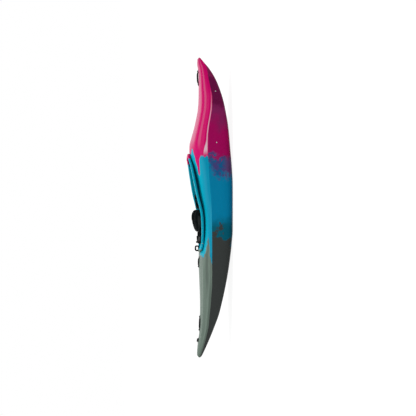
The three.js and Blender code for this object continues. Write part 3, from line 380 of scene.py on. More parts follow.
def plus(tree, a, b, clamp=False):
    return math_node(tree, "ADD", a, b, clamp=clamp)


def less(tree, a, b):
    return math_node(tree, "SUBTRACT", a, b)


def mix_colour(tree, share, a, b):
    return add_node(tree, "ShaderNodeMix", {"Factor": share, 6: a, 7: b}, data_type="RGBA").outputs[2]


def smooth_range(tree, value, low, high, to_low=0.0, to_high=1.0):
    feeds = dict(enumerate((value, low, high, to_low, to_high)))
    return add_node(tree, "ShaderNodeMapRange", feeds, interpolation_type="SMOOTHSTEP").outputs[0]


def noise(tree, vector, scale, detail, roughness):
    feeds = {"Vector": vector, "Scale": scale, "Detail": detail, "Roughness": roughness}
    return add_node(tree, "ShaderNodeTexNoise", feeds).outputs[0]


def mapped(tree, vector, scale):
    return add_node(tree, "ShaderNodeMapping", {"Vector": vector, "Scale": scale}).outputs[0]


def new_tree(kind, name, inputs, outputs):
    """Empty node tree with named sockets, and its two ends."""
    tree = bpy.data.node_groups.new(name, kind)
    for label, socket_kind, *default in inputs:
        socket = tree.interface.new_socket(label, in_out="INPUT", socket_type=socket_kind)
        if default:
            socket.default_value = default[0]
    for label, socket_kind in outputs:
        tree.interface.new_socket(label, in_out="OUTPUT", socket_type=socket_kind)
    return tree, tree.nodes.new("NodeGroupInput").outputs, tree.nodes.new("NodeGroupOutput").inputs


def new_group(name, inputs, outputs):
    return new_tree("ShaderNodeTree", name, [("Where", VECTOR), *inputs], outputs)


def use_group(tree, group, **values):
    made = add_node(tree, "ShaderNodeGroup", node_tree=group)
    for key, value in values.items():
        feed(tree, made.inputs[key.replace("_", " ")], value)
    return made.outputs


def new_material(name, **constants):
    made = bpy.data.materials.new(name)
    made.use_nodes = True
    tree = made.node_tree
    shader = tree.nodes["Principled BSDF"]
    for key, value in constants.items():
        shader.inputs[key.replace("_", " ")].default_value = value
    where = tree.nodes.new("ShaderNodeTexCoord").outputs["Object"]
    return made, tree, shader, where


def split(tree, where):
    return add_node(tree, "ShaderNodeSeparateXYZ", {0: where}).outputs


def bumped(tree, shader, height, distance, strength):
    made = add_node(tree, "ShaderNodeBump", {"Strength": strength, "Distance": distance, "Height": height})
    tree.links.new(made.outputs[0], shader.inputs["Normal"])


FLOAT = "NodeSocketFloat"
COLOUR = "NodeSocketColor"
VECTOR = "NodeSocketVector"
TURN = 6.283  # a full turn, in radians


# Shared effects
def ragged_edge_group():
    """Mask that is 1 ahead of a place along the boat, with a torn, blotched edge."""
    tree, inputs, outputs = new_group(
        "ragged_edge",
        [("Along", FLOAT), ("Edge", FLOAT), ("Softness", FLOAT), ("Blotches", FLOAT), ("Streaks", FLOAT),
         ("Blotch Scale", FLOAT, 16.0), ("Streak Scale", FLOAT, 34.0)],
        [("Mask", FLOAT)],
    )
    blotches = noise(tree, inputs["Where"], inputs["Blotch Scale"], 3.0, 0.6)
    streaks = noise(tree, mapped(tree, inputs["Where"], (0.2, 1.0, 1.0)), inputs["Streak Scale"], 3.0, 0.6)
    shift = times(tree, less(tree, blotches, 0.5), inputs["Blotches"])
    shift = math_node(tree, "MULTIPLY_ADD", less(tree, streaks, 0.5), inputs["Streaks"], shift)
    moved = plus(tree, less(tree, inputs["Along"], inputs["Edge"]), shift)
    low = times(tree, inputs["Softness"], -1.0)
    tree.links.new(smooth_range(tree, moved, low, inputs["Softness"]), outputs["Mask"])
    return tree


def moulded_face_group():
    """Satin moulded polyethylene: slow ripple, fine orange peel, and dull rubbed patches and scratches."""
    tree, inputs, outputs = new_group(
        "moulded_face",
        [("Gloss", FLOAT), ("Rubbed", FLOAT), ("Low Wear", FLOAT)],
        [("Roughness", FLOAT), ("Height", FLOAT), ("Dulled", FLOAT)],
    )
    peel = noise(tree, inputs["Where"], 240.0, 2.0, 0.5)
    ripple = noise(tree, inputs["Where"], 6.0, 1.0, 0.3)
    patches = smooth_range(tree, noise(tree, inputs["Where"], 22.0, 5.0, 0.65), 0.52, 0.75)
    scratches = noise(tree, mapped(tree, inputs["Where"], (0.08, 1.0, 1.0)), 190.0, 2.0, 0.6)
    thin = smooth_range(tree, scratches, 0.66, 0.74)
    worn = times(tree, thin, inputs["Low Wear"])
    dulled = plus(tree, times(tree, patches, inputs["Rubbed"]), worn, clamp=True)
    rough = plus(tree, inputs["Gloss"], times(tree, dulled, 0.25), clamp=True)
    height = plus(tree, times(tree, peel, 0.03), times(tree, ripple, 2.0))
    tree.links.new(rough, outputs["Roughness"])
    tree.links.new(less(tree, height, times(tree, worn, 0.1)), outputs["Height"])
    tree.links.new(dulled, outputs["Dulled"])
    return tree


def grained_face_group():
    """Black moulding with a fine leathery grain."""
    tree, inputs, outputs = new_group(
        "grained_face",
        [("Grain Scale", FLOAT), ("Dark", COLOUR), ("Pale", COLOUR), ("Base Roughness", FLOAT)],
        [("Color", COLOUR), ("Roughness", FLOAT), ("Height", FLOAT)],
    )
    feeds = {"Vector": inputs["Where"], "Scale": inputs["Grain Scale"]}
    cells = add_node(tree, "ShaderNodeTexVoronoi", feeds, feature="F1")
    cloud = noise(tree, inputs["Where"], 30.0, 4.0, 0.6)
    share = smooth_range(tree, cloud, 0.4, 0.8)
    tree.links.new(mix_colour(tree, share, inputs["Dark"], inputs["Pale"]), outputs["Color"])
    rough = plus(tree, inputs["Base Roughness"], times(tree, cloud, 0.15))
    tree.links.new(rough, outputs["Roughness"])
    tree.links.new(cells.outputs["Distance"], outputs["Height"])
    return tree


def weave_group():
    """Crossed threads that run round any face, with a little lint."""
    tree, inputs, outputs = new_group(
        "weave",
        [("Threads", FLOAT), ("Cross Threads", FLOAT), ("Dark", COLOUR), ("Pale", COLOUR)],
        [("Color", COLOUR), ("Height", FLOAT)],
    )
    axis = split(tree, inputs["Where"])
    slanted = plus(tree, axis["X"], axis["Y"])
    across = plus(tree, axis["Z"], times(tree, axis["Y"], 0.3))
    warp = math_node(tree, "SINE", times(tree, slanted, times(tree, inputs["Threads"], TURN)))
    weft = math_node(tree, "SINE", times(tree, across, times(tree, inputs["Cross Threads"], TURN)))
    crossed = math_node(tree, "MULTIPLY_ADD", times(tree, warp, weft), 0.5, 0.5)
    lint = smooth_range(tree, noise(tree, inputs["Where"], 60.0, 4.0, 0.7), 0.45, 0.8)
    share = math_node(tree, "MULTIPLY_ADD", crossed, 0.4, times(tree, lint, 0.5))
    tree.links.new(mix_colour(tree, share, inputs["Dark"], inputs["Pale"]), outputs["Color"])
    tree.links.new(crossed, outputs["Height"])
    return tree


RAGGED_EDGE = ragged_edge_group()
MOULDED_FACE = moulded_face_group()
GRAINED_FACE = grained_face_group()
WEAVE = weave_group()

# Shell colours
DECK_PINK = (0.72, 0.001, 0.16, 1)
DECK_BLUE = (0.001, 0.46, 0.62, 1)
# painted shade: the deck's blue turns to this towards the knuckle, where the deck tilts away from the lamp
PAINTED_BLUE_SHADE = (0.001, 0.33, 0.52, 1)
DECK_SAGE = (0.18, 0.24, 0.2, 1)
SIDE_PINK = (0.55, 0.003, 0.15, 1)
SIDE_MAROON = (0.2, 0.006, 0.08, 1)
SIDE_PURPLE = (0.28, 0.025, 0.15, 1)
SIDE_TIP = (0.5, 0.035, 0.17, 1)
SIDE_BLUE = (0.001, 0.33, 0.6, 1)
SIDE_DUSK = (0.008, 0.15, 0.39, 1)
SIDE_MIXED = (0.1, 0.07, 0.28, 1)
SIDE_PLUM = (0.22, 0.045, 0.2, 1)
SIDE_TEAL = (0.001, 0.17, 0.26, 1)
SIDE_GRAPHITE = (0.068, 0.076, 0.073, 1)
FRINGE_BROWN = (0.2, 0.155, 0.125, 1)
# painted highlight colour for the front deck's wedge at the knuckle, its top and its stripe
PAINTED_HIGHLIGHT_PINK = (0.9, 0.72, 0.81, 1)
# painted shade under the coaming's lip and on its inner wall at the front: navy, and maroon where it is pink
PAINTED_LIP_SHADE = (0.001, 0.05, 0.12, 1)
PAINTED_LIP_SHADE_FRONT = (0.03, 0.001, 0.012, 1)
# painted shade for the sage deck towards the knuckle and in the rear deck's crease
PAINTED_SAGE_SHADE = (0.085, 0.11, 0.095, 1)
SHELL_GLOSS = 0.32
SHELL_SHINE = 0.04
RUBBED_GREY = (0.6, 0.6, 0.6, 1)

# Where one colour gives way to the next. First number: the place across the deck, or up the side, as
# a share of the reach; second: how far along the boat, as a share of the colour reach.
COLOUR_REACH = 0.65
SIDE_REACH = 0.3
DECK_FRONT_SHARES = [
    (0, 0.75), (0.26, 0.75), (0.31, 0.8), (0.42, 0.8), (0.5, 0.76), (0.56, 0.69), (0.61, 0.61),
    (0.64, 0.54), (0.67, 0.47), (0.72, 0.46), (0.75, 0.68), (1, 0.71),
]
DECK_REAR_SHARES = [
    (0, 0.38), (0.25, 0.34), (0.4, 0.3), (0.5, 0.285), (0.56, 0.265), (0.62, 0.33), (0.7, 0.47),
    (0.78, 0.54), (0.825, 0.57), (0.855, 0.4), (0.88, 0.19), (1, 0.18),
]
SIDE_FRONT_SHARES = [(0, 0.71), (0.3, 0.69), (0.5, 0.68), (0.7, 0.71), (1, 0.72)]
SIDE_MIX_SHARES = [(0, 0.45), (0.3, 0.44), (0.5, 0.44), (0.6, 0.48), (0.66, 0.54), (0.72, 0.6), (1, 0.62)]
SIDE_REAR_SHARES = [(0, 0.38), (0.1, 0.46), (0.2, 0.58), (0.35, 0.63), (0.6, 0.69), (1, 0.71)]
RIM_FRONT_SHARES = [(0, 0.75), (0.5, 0.65), (1, 0.55)]
RIM_REAR_SHARES = [(0, 0.41), (1, 0.41)]


def edge_place(tree, value, shares, shift=0.0):
    """Place along the boat of a colour's edge, from a place across it."""
    made = add_node(tree, "ShaderNodeFloatCurve", {"Value": value})
    curve = made.mapping.curves[0]
    while len(curve.points) < len(shares):
        curve.points.new(0.5, 0.5)
    for point, (at, height) in zip(curve.points, shares):
        point.location = (at, height)
        point.handle_type = "AUTO_CLAMPED"
    made.mapping.update()
    return times(tree, less(tree, made.outputs[0], shift), COLOUR_REACH)


def torn_mask(tree, **settings):
    return use_group(tree, RAGGED_EDGE, **settings)["Mask"]


def fringed(tree, mask, behind, ahead, fringe, strength):
    """Two colours and a third where they run into one another."""
    between = times(tree, mask, less(tree, 1.0, mask))
    between = times(tree, between, 4 * strength, clamp=True)
    return mix_colour(tree, between, mix_colour(tree, mask, behind, ahead), fringe)


def finish_shell(tree, shader, where, colour, low_wear):
    face = use_group(tree, MOULDED_FACE, Where=where, Gloss=SHELL_GLOSS, Rubbed=0.12, Low_Wear=low_wear)
    paled = mix_colour(tree, times(tree, face["Dulled"], 0.05), colour, RUBBED_GREY)
    tree.links.new(paled, shader.inputs["Base Color"])
    tree.links.new(face["Roughness"], shader.inputs["Roughness"])
    bumped(tree, shader, face["Height"], 0.0012, 0.4)


def own_value(tree, name):
    """A number that the mesh carries at each of its points."""
    return add_node(tree, "ShaderNodeAttribute", attribute_name=name).outputs["Fac"]


def deck_material():
    """Pink, blue and sage in long tongues, with painted highlights and painted shade."""
    made, tree, shader, where = new_material("deck_polyethylene", Specular_IOR_Level=SHELL_SHINE)
    axis = split(tree, where)
    along = axis["X"]
    place = times(tree, math_node(tree, "ABSOLUTE", axis["Y"]), 1 / HALF_BEAM)
    common = {"Where": where, "Along": along}
    edge = edge_place(tree, place, DECK_FRONT_SHARES)
    bow = torn_mask(tree, Edge=edge, Blotches=0.03, Streaks=0.1, Softness=0.006, Blotch_Scale=26.0, **common)
    edge = edge_place(tree, place, DECK_REAR_SHARES, 1.0)
    middle = torn_mask(tree, Edge=edge, Blotches=0.08, Streaks=0.14, Softness=0.01, Blotch_Scale=30.0,
                       **common)
    across = own_value(tree, "across")
    # painted shade: the blue darkens towards the knuckle
    blue = mix_colour(tree, smooth_range(tree, across, 0.7, 0.98), DECK_BLUE, PAINTED_BLUE_SHADE)
    body = fringed(tree, middle, sage_with_painted_shade(tree, where, along, across), blue, FRINGE_BROWN, 0.8)
    colour = mix_colour(tree, bow, body, DECK_PINK)
    # the front deck gets its painted highlights here
    finish_shell(tree, shader, where, front_painted_highlights(tree, colour, along, across), 0.0)
    return made


def band_mask(tree, value, low, full, last, high):
    """Mask that rises between two values and falls between two more."""
    return times(tree, smooth_range(tree, value, low, full), smooth_range(tree, value, high, last))


def front_painted_highlights(tree, colour, along, across):
    """Colour with painted highlights on the front deck: a wedge at the knuckle, its top and a stripe."""
    start = smooth_range(tree, along, 0.46, 0.62, 0.9, 0.965)
    inner = smooth_range(tree, across, start, plus(tree, start, 0.015))
    wedge = times(tree, inner, smooth_range(tree, across, 1.0, 0.975))
    reach = band_mask(tree, along, 0.455, 0.53, 0.8, 1.1)
    front = smooth_range(tree, along, 0.5, 0.62)
    top = times(tree, smooth_range(tree, across, 0.66, 0.4), front)
    stripe = times(tree, band_mask(tree, across, 0.7, 0.76, 0.8, 0.84), front)
    for mask, strength in ((times(tree, wedge, reach), 0.85), (top, 0.26), (stripe, 0.12)):
        colour = mix_colour(tree, times(tree, mask, strength), colour, PAINTED_HIGHLIGHT_PINK)
    return colour


def sage_with_painted_shade(tree, where, along, across):
    """Sage with painted shade, darker towards the knuckle and in a long streak in the rear deck's crease."""
    cloud = noise(tree, mapped(tree, where, (0.25, 1, 1)), 12.0, 3.0, 0.6)
    place = math_node(tree, "MULTIPLY_ADD", less(tree, cloud, 0.5), 0.12, across)
    streak = times(tree, band_mask(tree, place, 0.72, 0.79, 0.85, 0.9), 0.55)
    streak = times(tree, streak, smooth_range(tree, along, -0.9, -0.62))
    low = times(tree, smooth_range(tree, place, 0.86, 1.0), smooth_range(tree, along, -0.6, -0.8))
    shade = math_node(tree, "MAXIMUM", streak, times(tree, low, 0.5))
    return mix_colour(tree, shade, DECK_SAGE, PAINTED_SAGE_SHADE)


def hull_material():
    """Pink that runs to maroon at the bow, mottled into blue, then into graphite."""
    made, tree, shader, where = new_material("hull_polyethylene", Specular_IOR_Level=SHELL_SHINE)
    axis = split(tree, where)
    along = axis["X"]
    place = times(tree, axis["Z"], 1 / SIDE_REACH)
    common = {"Where": where, "Along": along, "Streaks": 0.05}
    edge = edge_place(tree, place, SIDE_FRONT_SHARES)
    bow = torn_mask(tree, Edge=edge, Blotches=0.32, Softness=0.03, Blotch_Scale=21.0, **common)
    edge = edge_place(tree, place, SIDE_MIX_SHARES)
    mixed = torn_mask(tree, Edge=edge, Blotches=0.26, Softness=0.04, Blotch_Scale=22.0, **common)
    edge = edge_place(tree, place, SIDE_REAR_SHARES, 1.0)
    middle = torn_mask(tree, Edge=edge, Blotches=0.62, Softness=0.03, Blotch_Scale=12.5, **common)
    teal = plus(tree, along, times(tree, noise(tree, where, 9.0, 3.0, 0.6), 0.2))
    blue = mix_colour(tree, smooth_range(tree, teal, 0.04, -0.1), SIDE_BLUE, SIDE_TEAL)
    body = mix_colour(tree, middle, SIDE_GRAPHITE, blue)
    cloud = smooth_range(tree, noise(tree, where, 23.0, 4.0, 0.6), 0.43, 0.56)
    blend = mix_colour(tree, cloud, SIDE_DUSK, SIDE_MIXED)
    low = times(tree, smooth_range(tree, place, 0.36, 0.16), 0.8)
    blend = mix_colour(tree, low, blend, SIDE_PLUM)
    body = mix_colour(tree, times(tree, mixed, 0.95), body, blend)
    colour = mix_colour(tree, bow, body, side_pink(tree, where, along))
    finish_shell(tree, shader, where, colour, 0.25)
    return made


def side_pink(tree, where, along):
    """Pink of the hull's side, which runs to purple and maroon towards the bow."""
    cloud = times(tree, less(tree, noise(tree, where, 7.0, 4.0, 0.6), 0.5), 0.4)
    place = plus(tree, along, cloud)
    purple = times(tree, smooth_range(tree, place, 0.66, 0.86), 0.8)
    colour = mix_colour(tree, purple, SIDE_PINK, SIDE_PURPLE)
    colour = mix_colour(tree, smooth_range(tree, place, 0.88, 1.0), colour, SIDE_MAROON)
    return mix_colour(tree, smooth_range(tree, place, 1.2, 1.32), colour, SIDE_TIP)


def rim_material():
    made, tree, shader, where = new_material("coaming_polyethylene", Specular_IOR_Level=SHELL_SHINE)
    axis = split(tree, where)
    place = math_node(tree, "MULTIPLY_ADD", axis["Y"], 0.5 / HALF_BEAM, 0.5)
    common = {"Where": where, "Along": axis["X"], "Blotches": 0.04, "Streaks": 0.04, "Softness": 0.006}
    bow = torn_mask(tree, Edge=edge_place(tree, place, RIM_FRONT_SHARES), **common)
    middle = torn_mask(tree, Edge=edge_place(tree, place, RIM_REAR_SHARES, 1.0), **common)
    body = mix_colour(tree, middle, DECK_SAGE, DECK_BLUE)
    colour = mix_colour(tree, bow, body, DECK_PINK)
    # painted shade under the lip and on the front of the inner wall, where the mesh's "under" number is 1
    shade = mix_colour(tree, bow, PAINTED_LIP_SHADE, PAINTED_LIP_SHADE_FRONT)
    colour = mix_colour(tree, times(tree, own_value(tree, "under"), 0.9), colour, shade)
    finish_shell(tree, shader, where, colour, 0.0)
    return made


def plain_black(name, dark, pale, roughness, grain_scale, depth):
    made, tree, shader, where = new_material(name, Specular_IOR_Level=0.16)
    face = use_group(tree, GRAINED_FACE, Where=where, Grain_Scale=grain_scale, Dark=dark, Pale=pale,
                     Base_Roughness=roughness)
    tree.links.new(face["Color"], shader.inputs["Base Color"])
    tree.links.new(face["Roughness"], shader.inputs["Roughness"])
    bumped(tree, shader, face["Height"], depth, 0.5)
    return made


def woven_black(name, dark, pale, threads, cross_threads, depth):
    made, tree, shader, where = new_material(name, Roughness=0.85, Sheen_Weight=0.02, Specular_IOR_Level=0.12)
    face = use_group(tree, WEAVE, Where=where, Threads=threads, Cross_Threads=cross_threads, Dark=dark,
                     Pale=pale)
    tree.links.new(face["Color"], shader.inputs["Base Color"])
    bumped(tree, shader, face["Height"], depth, 0.6)
    return made


def metal(name, colour, roughness, stretch):
    made, tree, shader, where = new_material(name, Metallic=1.0)
    lines = noise(tree, mapped(tree, where, stretch), 400.0, 3.0, 0.6)
    share = smooth_range(tree, lines, 0.3, 0.7)
    dark = tuple(0.75 * c for c in colour[:3]) + (1,)
    tree.links.new(mix_colour(tree, share, dark, colour), shader.inputs["Base Color"])
    rough = math_node(tree, "MULTIPLY_ADD", lines, 0.18, roughness - 0.09)
    tree.links.new(rough, shader.inputs["Roughness"])
    bumped(tree, shader, lines, 0.00003, 0.4)
    return made


DECK_SHELL = deck_material()
HULL_SHELL = hull_material()
RIM_SHELL = rim_material()
BLACK = plain_black(
    "black_moulding", dark=(0.006, 0.008, 0.008, 1), pale=(0.018, 0.021, 0.021, 1),
    roughness=0.42, grain_scale=700.0, depth=0.00012,
)
SOFT_BLACK = plain_black(
    "black_foam", dark=(0.008, 0.009, 0.009, 1), pale=(0.02, 0.022, 0.022, 1),
    roughness=0.8, grain_scale=420.0, depth=0.0003,
)
RUBBER = plain_black(
    "seal_rubber", dark=(0.008, 0.008, 0.008, 1), pale=(0.016, 0.016, 0.016, 1),
    roughness=0.6, grain_scale=900.0, depth=0.0001,
)
COVER = woven_black(
    "woven_cover", dark=(0.003, 0.004, 0.004, 1), pale=(0.014, 0.017, 0.018, 1),
    threads=420.0, cross_threads=420.0, depth=0.0004,
)
WEBBING = woven_black(
    "webbing", dark=(0.004, 0.005, 0.005, 1), pale=(0.03, 0.034, 0.036, 1),
    threads=300.0, cross_threads=520.0, depth=0.0005,
)
THREAD = woven_black(
    "sewing_thread", dark=(0.012, 0.013, 0.013, 1), pale=(0.05, 0.052, 0.052, 1),
    threads=900.0, cross_threads=900.0, depth=0.0001,
)
STEEL = metal("stainless_steel", (0.5, 0.52, 0.51, 1), roughness=0.32, stretch=(1, 1, 1))
DARK_STEEL = metal("blackened_steel", (0.03, 0.032, 0.032, 1), roughness=0.4, stretch=(1, 1, 1))
ALUMINIUM = metal("anodised_rail", (0.55, 0.56, 0.57, 1), roughness=0.4, stretch=(0.05, 1, 1))


# Hull, deck and coaming
ROW_COUNT = 240
OPENING_ROWS = 110
RECESS_ROWS = 24
COLUMN_COUNT = 44
ROW_GAP = 0.0006
RECESS_ROWS_SHARE = 0.55  # to each side of a recess's middle, as a share of its length
WALL_FULL_AT = 0.06  # half width from which the wall has its full thickness
LEAST_WALL_SHARE = 0.08
LEAST_NOSE_SHARE = 0.05


def offset_outline(distance, count):
    """Half outline of the cockpit in plan, from its front to its back, moved outwards."""
    reach = COCKPIT_LENGTH / 2 - RIM_LIP
    half = COCKPIT_WIDTH / 2 - RIM_LIP
    turn = np.linspace(0, math.pi, count)

    def at(t):
        across = np.sign(np.sin(t)) * np.abs(np.sin(t)) ** RIM_ROUND_POWER * (1 - RIM_EGG_SHARE * np.cos(t))
        return np.array([COCKPIT_CENTRE + reach * np.cos(t), half * across])

    step = 0.07
    along = at(turn + step) - at(turn - step)
    along = along / np.linalg.norm(along, axis=0)
    return at(turn) + distance * np.array([along[1], -along[0]])


OPENING = offset_outline(COAMING_WALL * 0.5, 1200)
OPENING_FRONT = float(OPENING[0][0])
OPENING_REAR = float(OPENING[0][-1])


def opening_half_at(x):
    inside = (x > OPENING_REAR) & (x < OPENING_FRONT)
    return np.where(inside, np.interp(x, OPENING[0][::-1], OPENING[1][::-1]), 0)


def boat_rows():
    """Places along the boat, closer at its tips, its recesses and the ends of its cockpit."""
    wave = np.sin(math.pi / 2 * np.linspace(-1, 1, ROW_COUNT + 1))
    even = HALF_LENGTH * wave
    even = even[(even < OPENING_REAR - ROW_GAP) | (even > OPENING_FRONT + ROW_GAP)]
    middle = (OPENING_FRONT + OPENING_REAR) / 2
    reach = (OPENING_FRONT - OPENING_REAR) / 2
    open_rows = middle + reach * np.cos(math.pi * np.arange(OPENING_ROWS + 1) / OPENING_ROWS)
    rows = [even, open_rows]
    for centre, length in RECESSES:
        rows.append(centre + length * np.linspace(-RECESS_ROWS_SHARE, RECESS_ROWS_SHARE, RECESS_ROWS))
    rows = np.sort(np.concatenate(rows))
    keep = [True] + [b - a > ROW_GAP for a, b in zip(rows[:-1], rows[1:])]
    keep[-1] = True
    return np.unique(np.concatenate([rows[keep], [OPENING_REAR, OPENING_FRONT]]))


def grid_faces(rows, columns):
    faces = []
    for i in range(rows - 1):
        for j in range(columns - 1):
            a = i * columns + j
            faces.append((a, a + 1, a + columns + 1, a + columns))
    return faces


def thick_shell(name, grid):
    """Closed shell from a grid of points on one side and its mirror image; its wall thins to the tips."""
    left = grid.reshape(-1, 3)
    right = left * np.array([1, -1, 1])
    faces = grid_faces(*grid.shape[:2])
    shift = len(left)
    mirrored = [tuple(shift + k for k in reversed(face)) for face in faces]
    item = new_object(name, mesh_of(name, np.concatenate([left, right]), faces + mirrored))
    tidied(item.data)
    outward_faces(item.data, name)
    group = item.vertex_groups.new(name="wall")
    for vertex in item.data.vertices:
        group.add([vertex.index], float(wall_share_at(vertex.co.x)), "REPLACE")
    wall = item.modifiers.new("wall", "SOLIDIFY")
    wall.thickness = SHELL_WALL
    wall.offset = -1
    wall.vertex_group = "wall"
    wall.thickness_vertex_group = 0
    wall.use_rim = True
    evaluated(item)
    item.vertex_groups.clear()
    smoothed(item.data, 35)
    return item


def outward_faces(mesh, name):
    """Turns an open sheet so that its faces look away from the inside of the boat."""
    up = 1 if name.startswith("deck") else -1
    total = sum(face.normal.z * face.area for face in mesh.polygons)
    if total * up < 0:
        mesh.flip_normals()
        mesh.update()


def wall_share_at(x):
    return np.clip(half_width_at(x) * nose_share(x) / WALL_FULL_AT, LEAST_WALL_SHARE, 1)


def deck_grid(rows):
    share = np.sin(math.pi / 2 * np.linspace(0, 1, COLUMN_COUNT))
    x = np.repeat(rows[:, None], COLUMN_COUNT, axis=1)
    inner = opening_half_at(x)
    half = half_width_at(x)
    y = inner + (half - inner) * share[None, :]
    z = deck_top_at(x, y)
    nose = nose_share(x)
    knuckle = knuckle_at(x)
    return np.stack([x, y * nose, knuckle + (z - knuckle) * nose], axis=2)


def hull_grid(rows):
    across, up = np.array(HULL_SECTION_SHARES).T
    steps = np.hypot(np.diff(across) * HALF_BEAM, np.diff(up) * HULL_DEPTH / 2)
    reach = np.concatenate([[0], np.cumsum(steps)])
    reach = reach / reach[-1]
    t = np.linspace(0, 1, COLUMN_COUNT)
    across_t = follow(list(zip(reach, across)), t)
    up_t = follow(list(zip(reach, up)), t)
    x = np.repeat(rows[:, None], COLUMN_COUNT, axis=1)
    keel = keel_at(x)
    knuckle = knuckle_at(x)
    nose = nose_share(x)
    y = half_width_at(x) * across_t[None, :] * nose
    z = keel + (knuckle - keel) * up_t[None, :]
    return np.stack([x, y, knuckle + (z - knuckle) * nose], axis=2)


def make_shells():
    rows = boat_rows()
    deck = thick_shell("deck_skin", deck_grid(rows))
    points = points_of(deck.data)
    x = points[:, 0]
    half = half_width_at(x) * np.maximum(nose_share(x), LEAST_NOSE_SHARE)
    carried(deck.data, "across", np.abs(points[:, 1]) / half)
    dressed(deck, "boat", "moulded_shell", DECK_SHELL, "deck_shell")
    hull = thick_shell("hull_skin", hull_grid(rows))
    dressed(hull, "boat", "moulded_shell", HULL_SHELL, "hull_shell")


RIM_COUNT = 168
RIM_THIN = 0.008  # least height of the lip
RIM_UNDER_FROM = 14  # first point of its section that faces down or lies behind the lip, which gets painted shade
RIM_INSIDE_TO = 2  # last point of its section on the inner wall
RIM_PAINTED_SHADE_REAR = 0.375  # where the inner wall gets painted shade, at the front
RIM_PAINTED_SHADE_FRONT = 0.458
RIM_FOOT_OUT = 0.012  # where its foot meets the deck, from its inner wall


def rim_profile(top, edge, low, deck_out, foot):
    """Section of the coaming: distance out from its inner wall, and height."""
    under = top - RIM_DROP - COAMING_WALL
    room = max(0.004, under - deck_out)
    flare = min(0.012, room * 0.45)
    return [
        (0, foot), (0, foot + 0.3 * (top - foot)), (0, top - 0.012), (0.0004, top - 0.007),
        (0.002, top - 0.003), (0.005, top - 0.0008), (0.009, top), (0.018, top - 0.0004),
        (0.027, edge + 0.0016), (0.033, edge), (0.0362, edge - 0.0022), (RIM_LIP, edge - 0.0055),
        (RIM_LIP, low + 0.003), (0.0372, low + 0.0008), (0.0352, low), (0.0332, low + 0.0008),
        (0.0322, low + 0.003), (0.0318, under + 0.001), (0.029, under + 0.0002), (0.02, under),
        (0.0105, under - 0.0004), (0.0078, under - 0.0018), (COAMING_WALL, under - min(0.005, room * 0.4)),
        (COAMING_WALL, deck_out + flare), (0.0072, deck_out + flare * 0.42), (0.0105, deck_out + flare * 0.1),
        (0.0145, deck_out - 0.0008), (0.012, deck_out - 0.0035), (COAMING_WALL, deck_out - 0.006),
        (COAMING_WALL, foot),
    ]


def make_coaming():
    half = RIM_COUNT // 2
    inner = offset_outline(0, half + 1)
    outer = offset_outline(1, half + 1)
    across = (outer - inner).T
    inner = inner.T
    ring = [(inner[i], across[i]) for i in range(half + 1)]
    flip = np.array([1, -1])
    ring += [(inner[i] * flip, across[i] * flip) for i in range(half - 1, 0, -1)]
    rings = []
    for start, out in ring:
        top = coaming_top_at(*start)
        lip = start + out * RIM_LIP
        edge = coaming_top_at(*lip) - RIM_DROP
        deck_out = float(deck_top_at(*(start + out * RIM_FOOT_OUT)))
        low = max(edge - RIM_EDGE, float(deck_top_at(*lip)) + RIM_CLEARANCE)
        foot = float(deck_top_at(*start)) - COAMING_SKIRT
        profile = rim_profile(top, edge, min(low, edge - RIM_THIN), deck_out, foot)
        rings.append([(*(start + out * distance), height) for distance, height in profile])
    item = ringed("coaming_skin", rings, loop=True)
    section = np.tile(np.arange(len(rings[0])), len(rings))
    x = points_of(item.data)[:, 0]
    painted_shade_inside = (section <= RIM_INSIDE_TO) & (x > RIM_PAINTED_SHADE_REAR) & (x < RIM_PAINTED_SHADE_FRONT)
    # the "under" number marks where the coaming gets painted shade
    carried(item.data, "under", (section >= RIM_UNDER_FROM) | painted_shade_inside)
    smoothed(item.data, 50)
    dressed(item, "boat", "moulded_shell", RIM_SHELL, "cockpit_coaming")


make_shells()
make_coaming()


# Hard pieces: the CAD solid's own shape with its edges eased
EASE_ANGLE = 28  # degrees between two faces from which their edge is eased


def refined(node, width, segments=2, material=BLACK, slot="black_plastic"):
    source = frame["nodes"][node]
    mesh = source.data.copy()
    mesh.name = node + "_eased"
    bm = bmesh.new()
    bm.from_mesh(mesh)
    bmesh.ops.remove_doubles(bm, verts=bm.verts, dist=2e-5)
    bmesh.ops.dissolve_limit(bm, angle_limit=math.radians(1), verts=bm.verts, edges=bm.edges)
    bm.to_mesh(mesh)
    bm.free()
    item = new_object(node + "_eased", mesh)
    ease = item.modifiers.new("ease", "BEVEL")
    ease.width = width
    ease.segments = segments
    ease.limit_method = "ANGLE"
    ease.angle_limit = math.radians(EASE_ANGLE)
    item.modifiers.new("flat faces", "WEIGHTED_NORMAL")
    evaluated(item)
    item.data.shade_smooth()
    return dressed(item, source["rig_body"], slot, material, node)


SIDES = ("left", "right")
for side in SIDES:
    refined(f"seat_hanger_{side}", 0.0012)
    refined(f"ratchet_base_{side}", 0.0006)
    refined(f"ratchet_lever_{side}", 0.0014)
    refined(f"thigh_brace_{side}", 0.0016)
    refined(f"thigh_mount_{side}", 0.0012)
    refined(f"foot_pedal_{side}", 0.0014)
    refined(f"foot_rail_{side}", 0.0008, material=ALUMINIUM, slot="rail_aluminium")
    refined(f"backband_strap_{side}", 0.0006, material=WEBBING, slot="webbing")
refined("seat_pan", 0.0015)
refined("backband_frame", 0.0008)
refined("drain_plug", 0.001)
refined("drain_seat", 0.0008)
refined("drain_seal", 0.0004, material=RUBBER, slot="seal_rubber")
for node in ("bow_pillar", "stern_pillar"):
    refined(node, 0.004, 3, material=SOFT_BLACK, slot="foam")


# Rounded bars, rings and tubes
def rounded_section(half_width, half_height, count=16, power=0.6):
    """Points round a section, between an ellipse and a rectangle."""
    turn = 2 * math.pi * np.arange(count) / count
    cos, sin = np.cos(turn), np.sin(turn)
    across = half_width * np.sign(cos) * np.abs(cos) ** power
    up = half_height * np.sign(sin) * np.abs(sin) ** power
    return np.stack([across, up], axis=1)


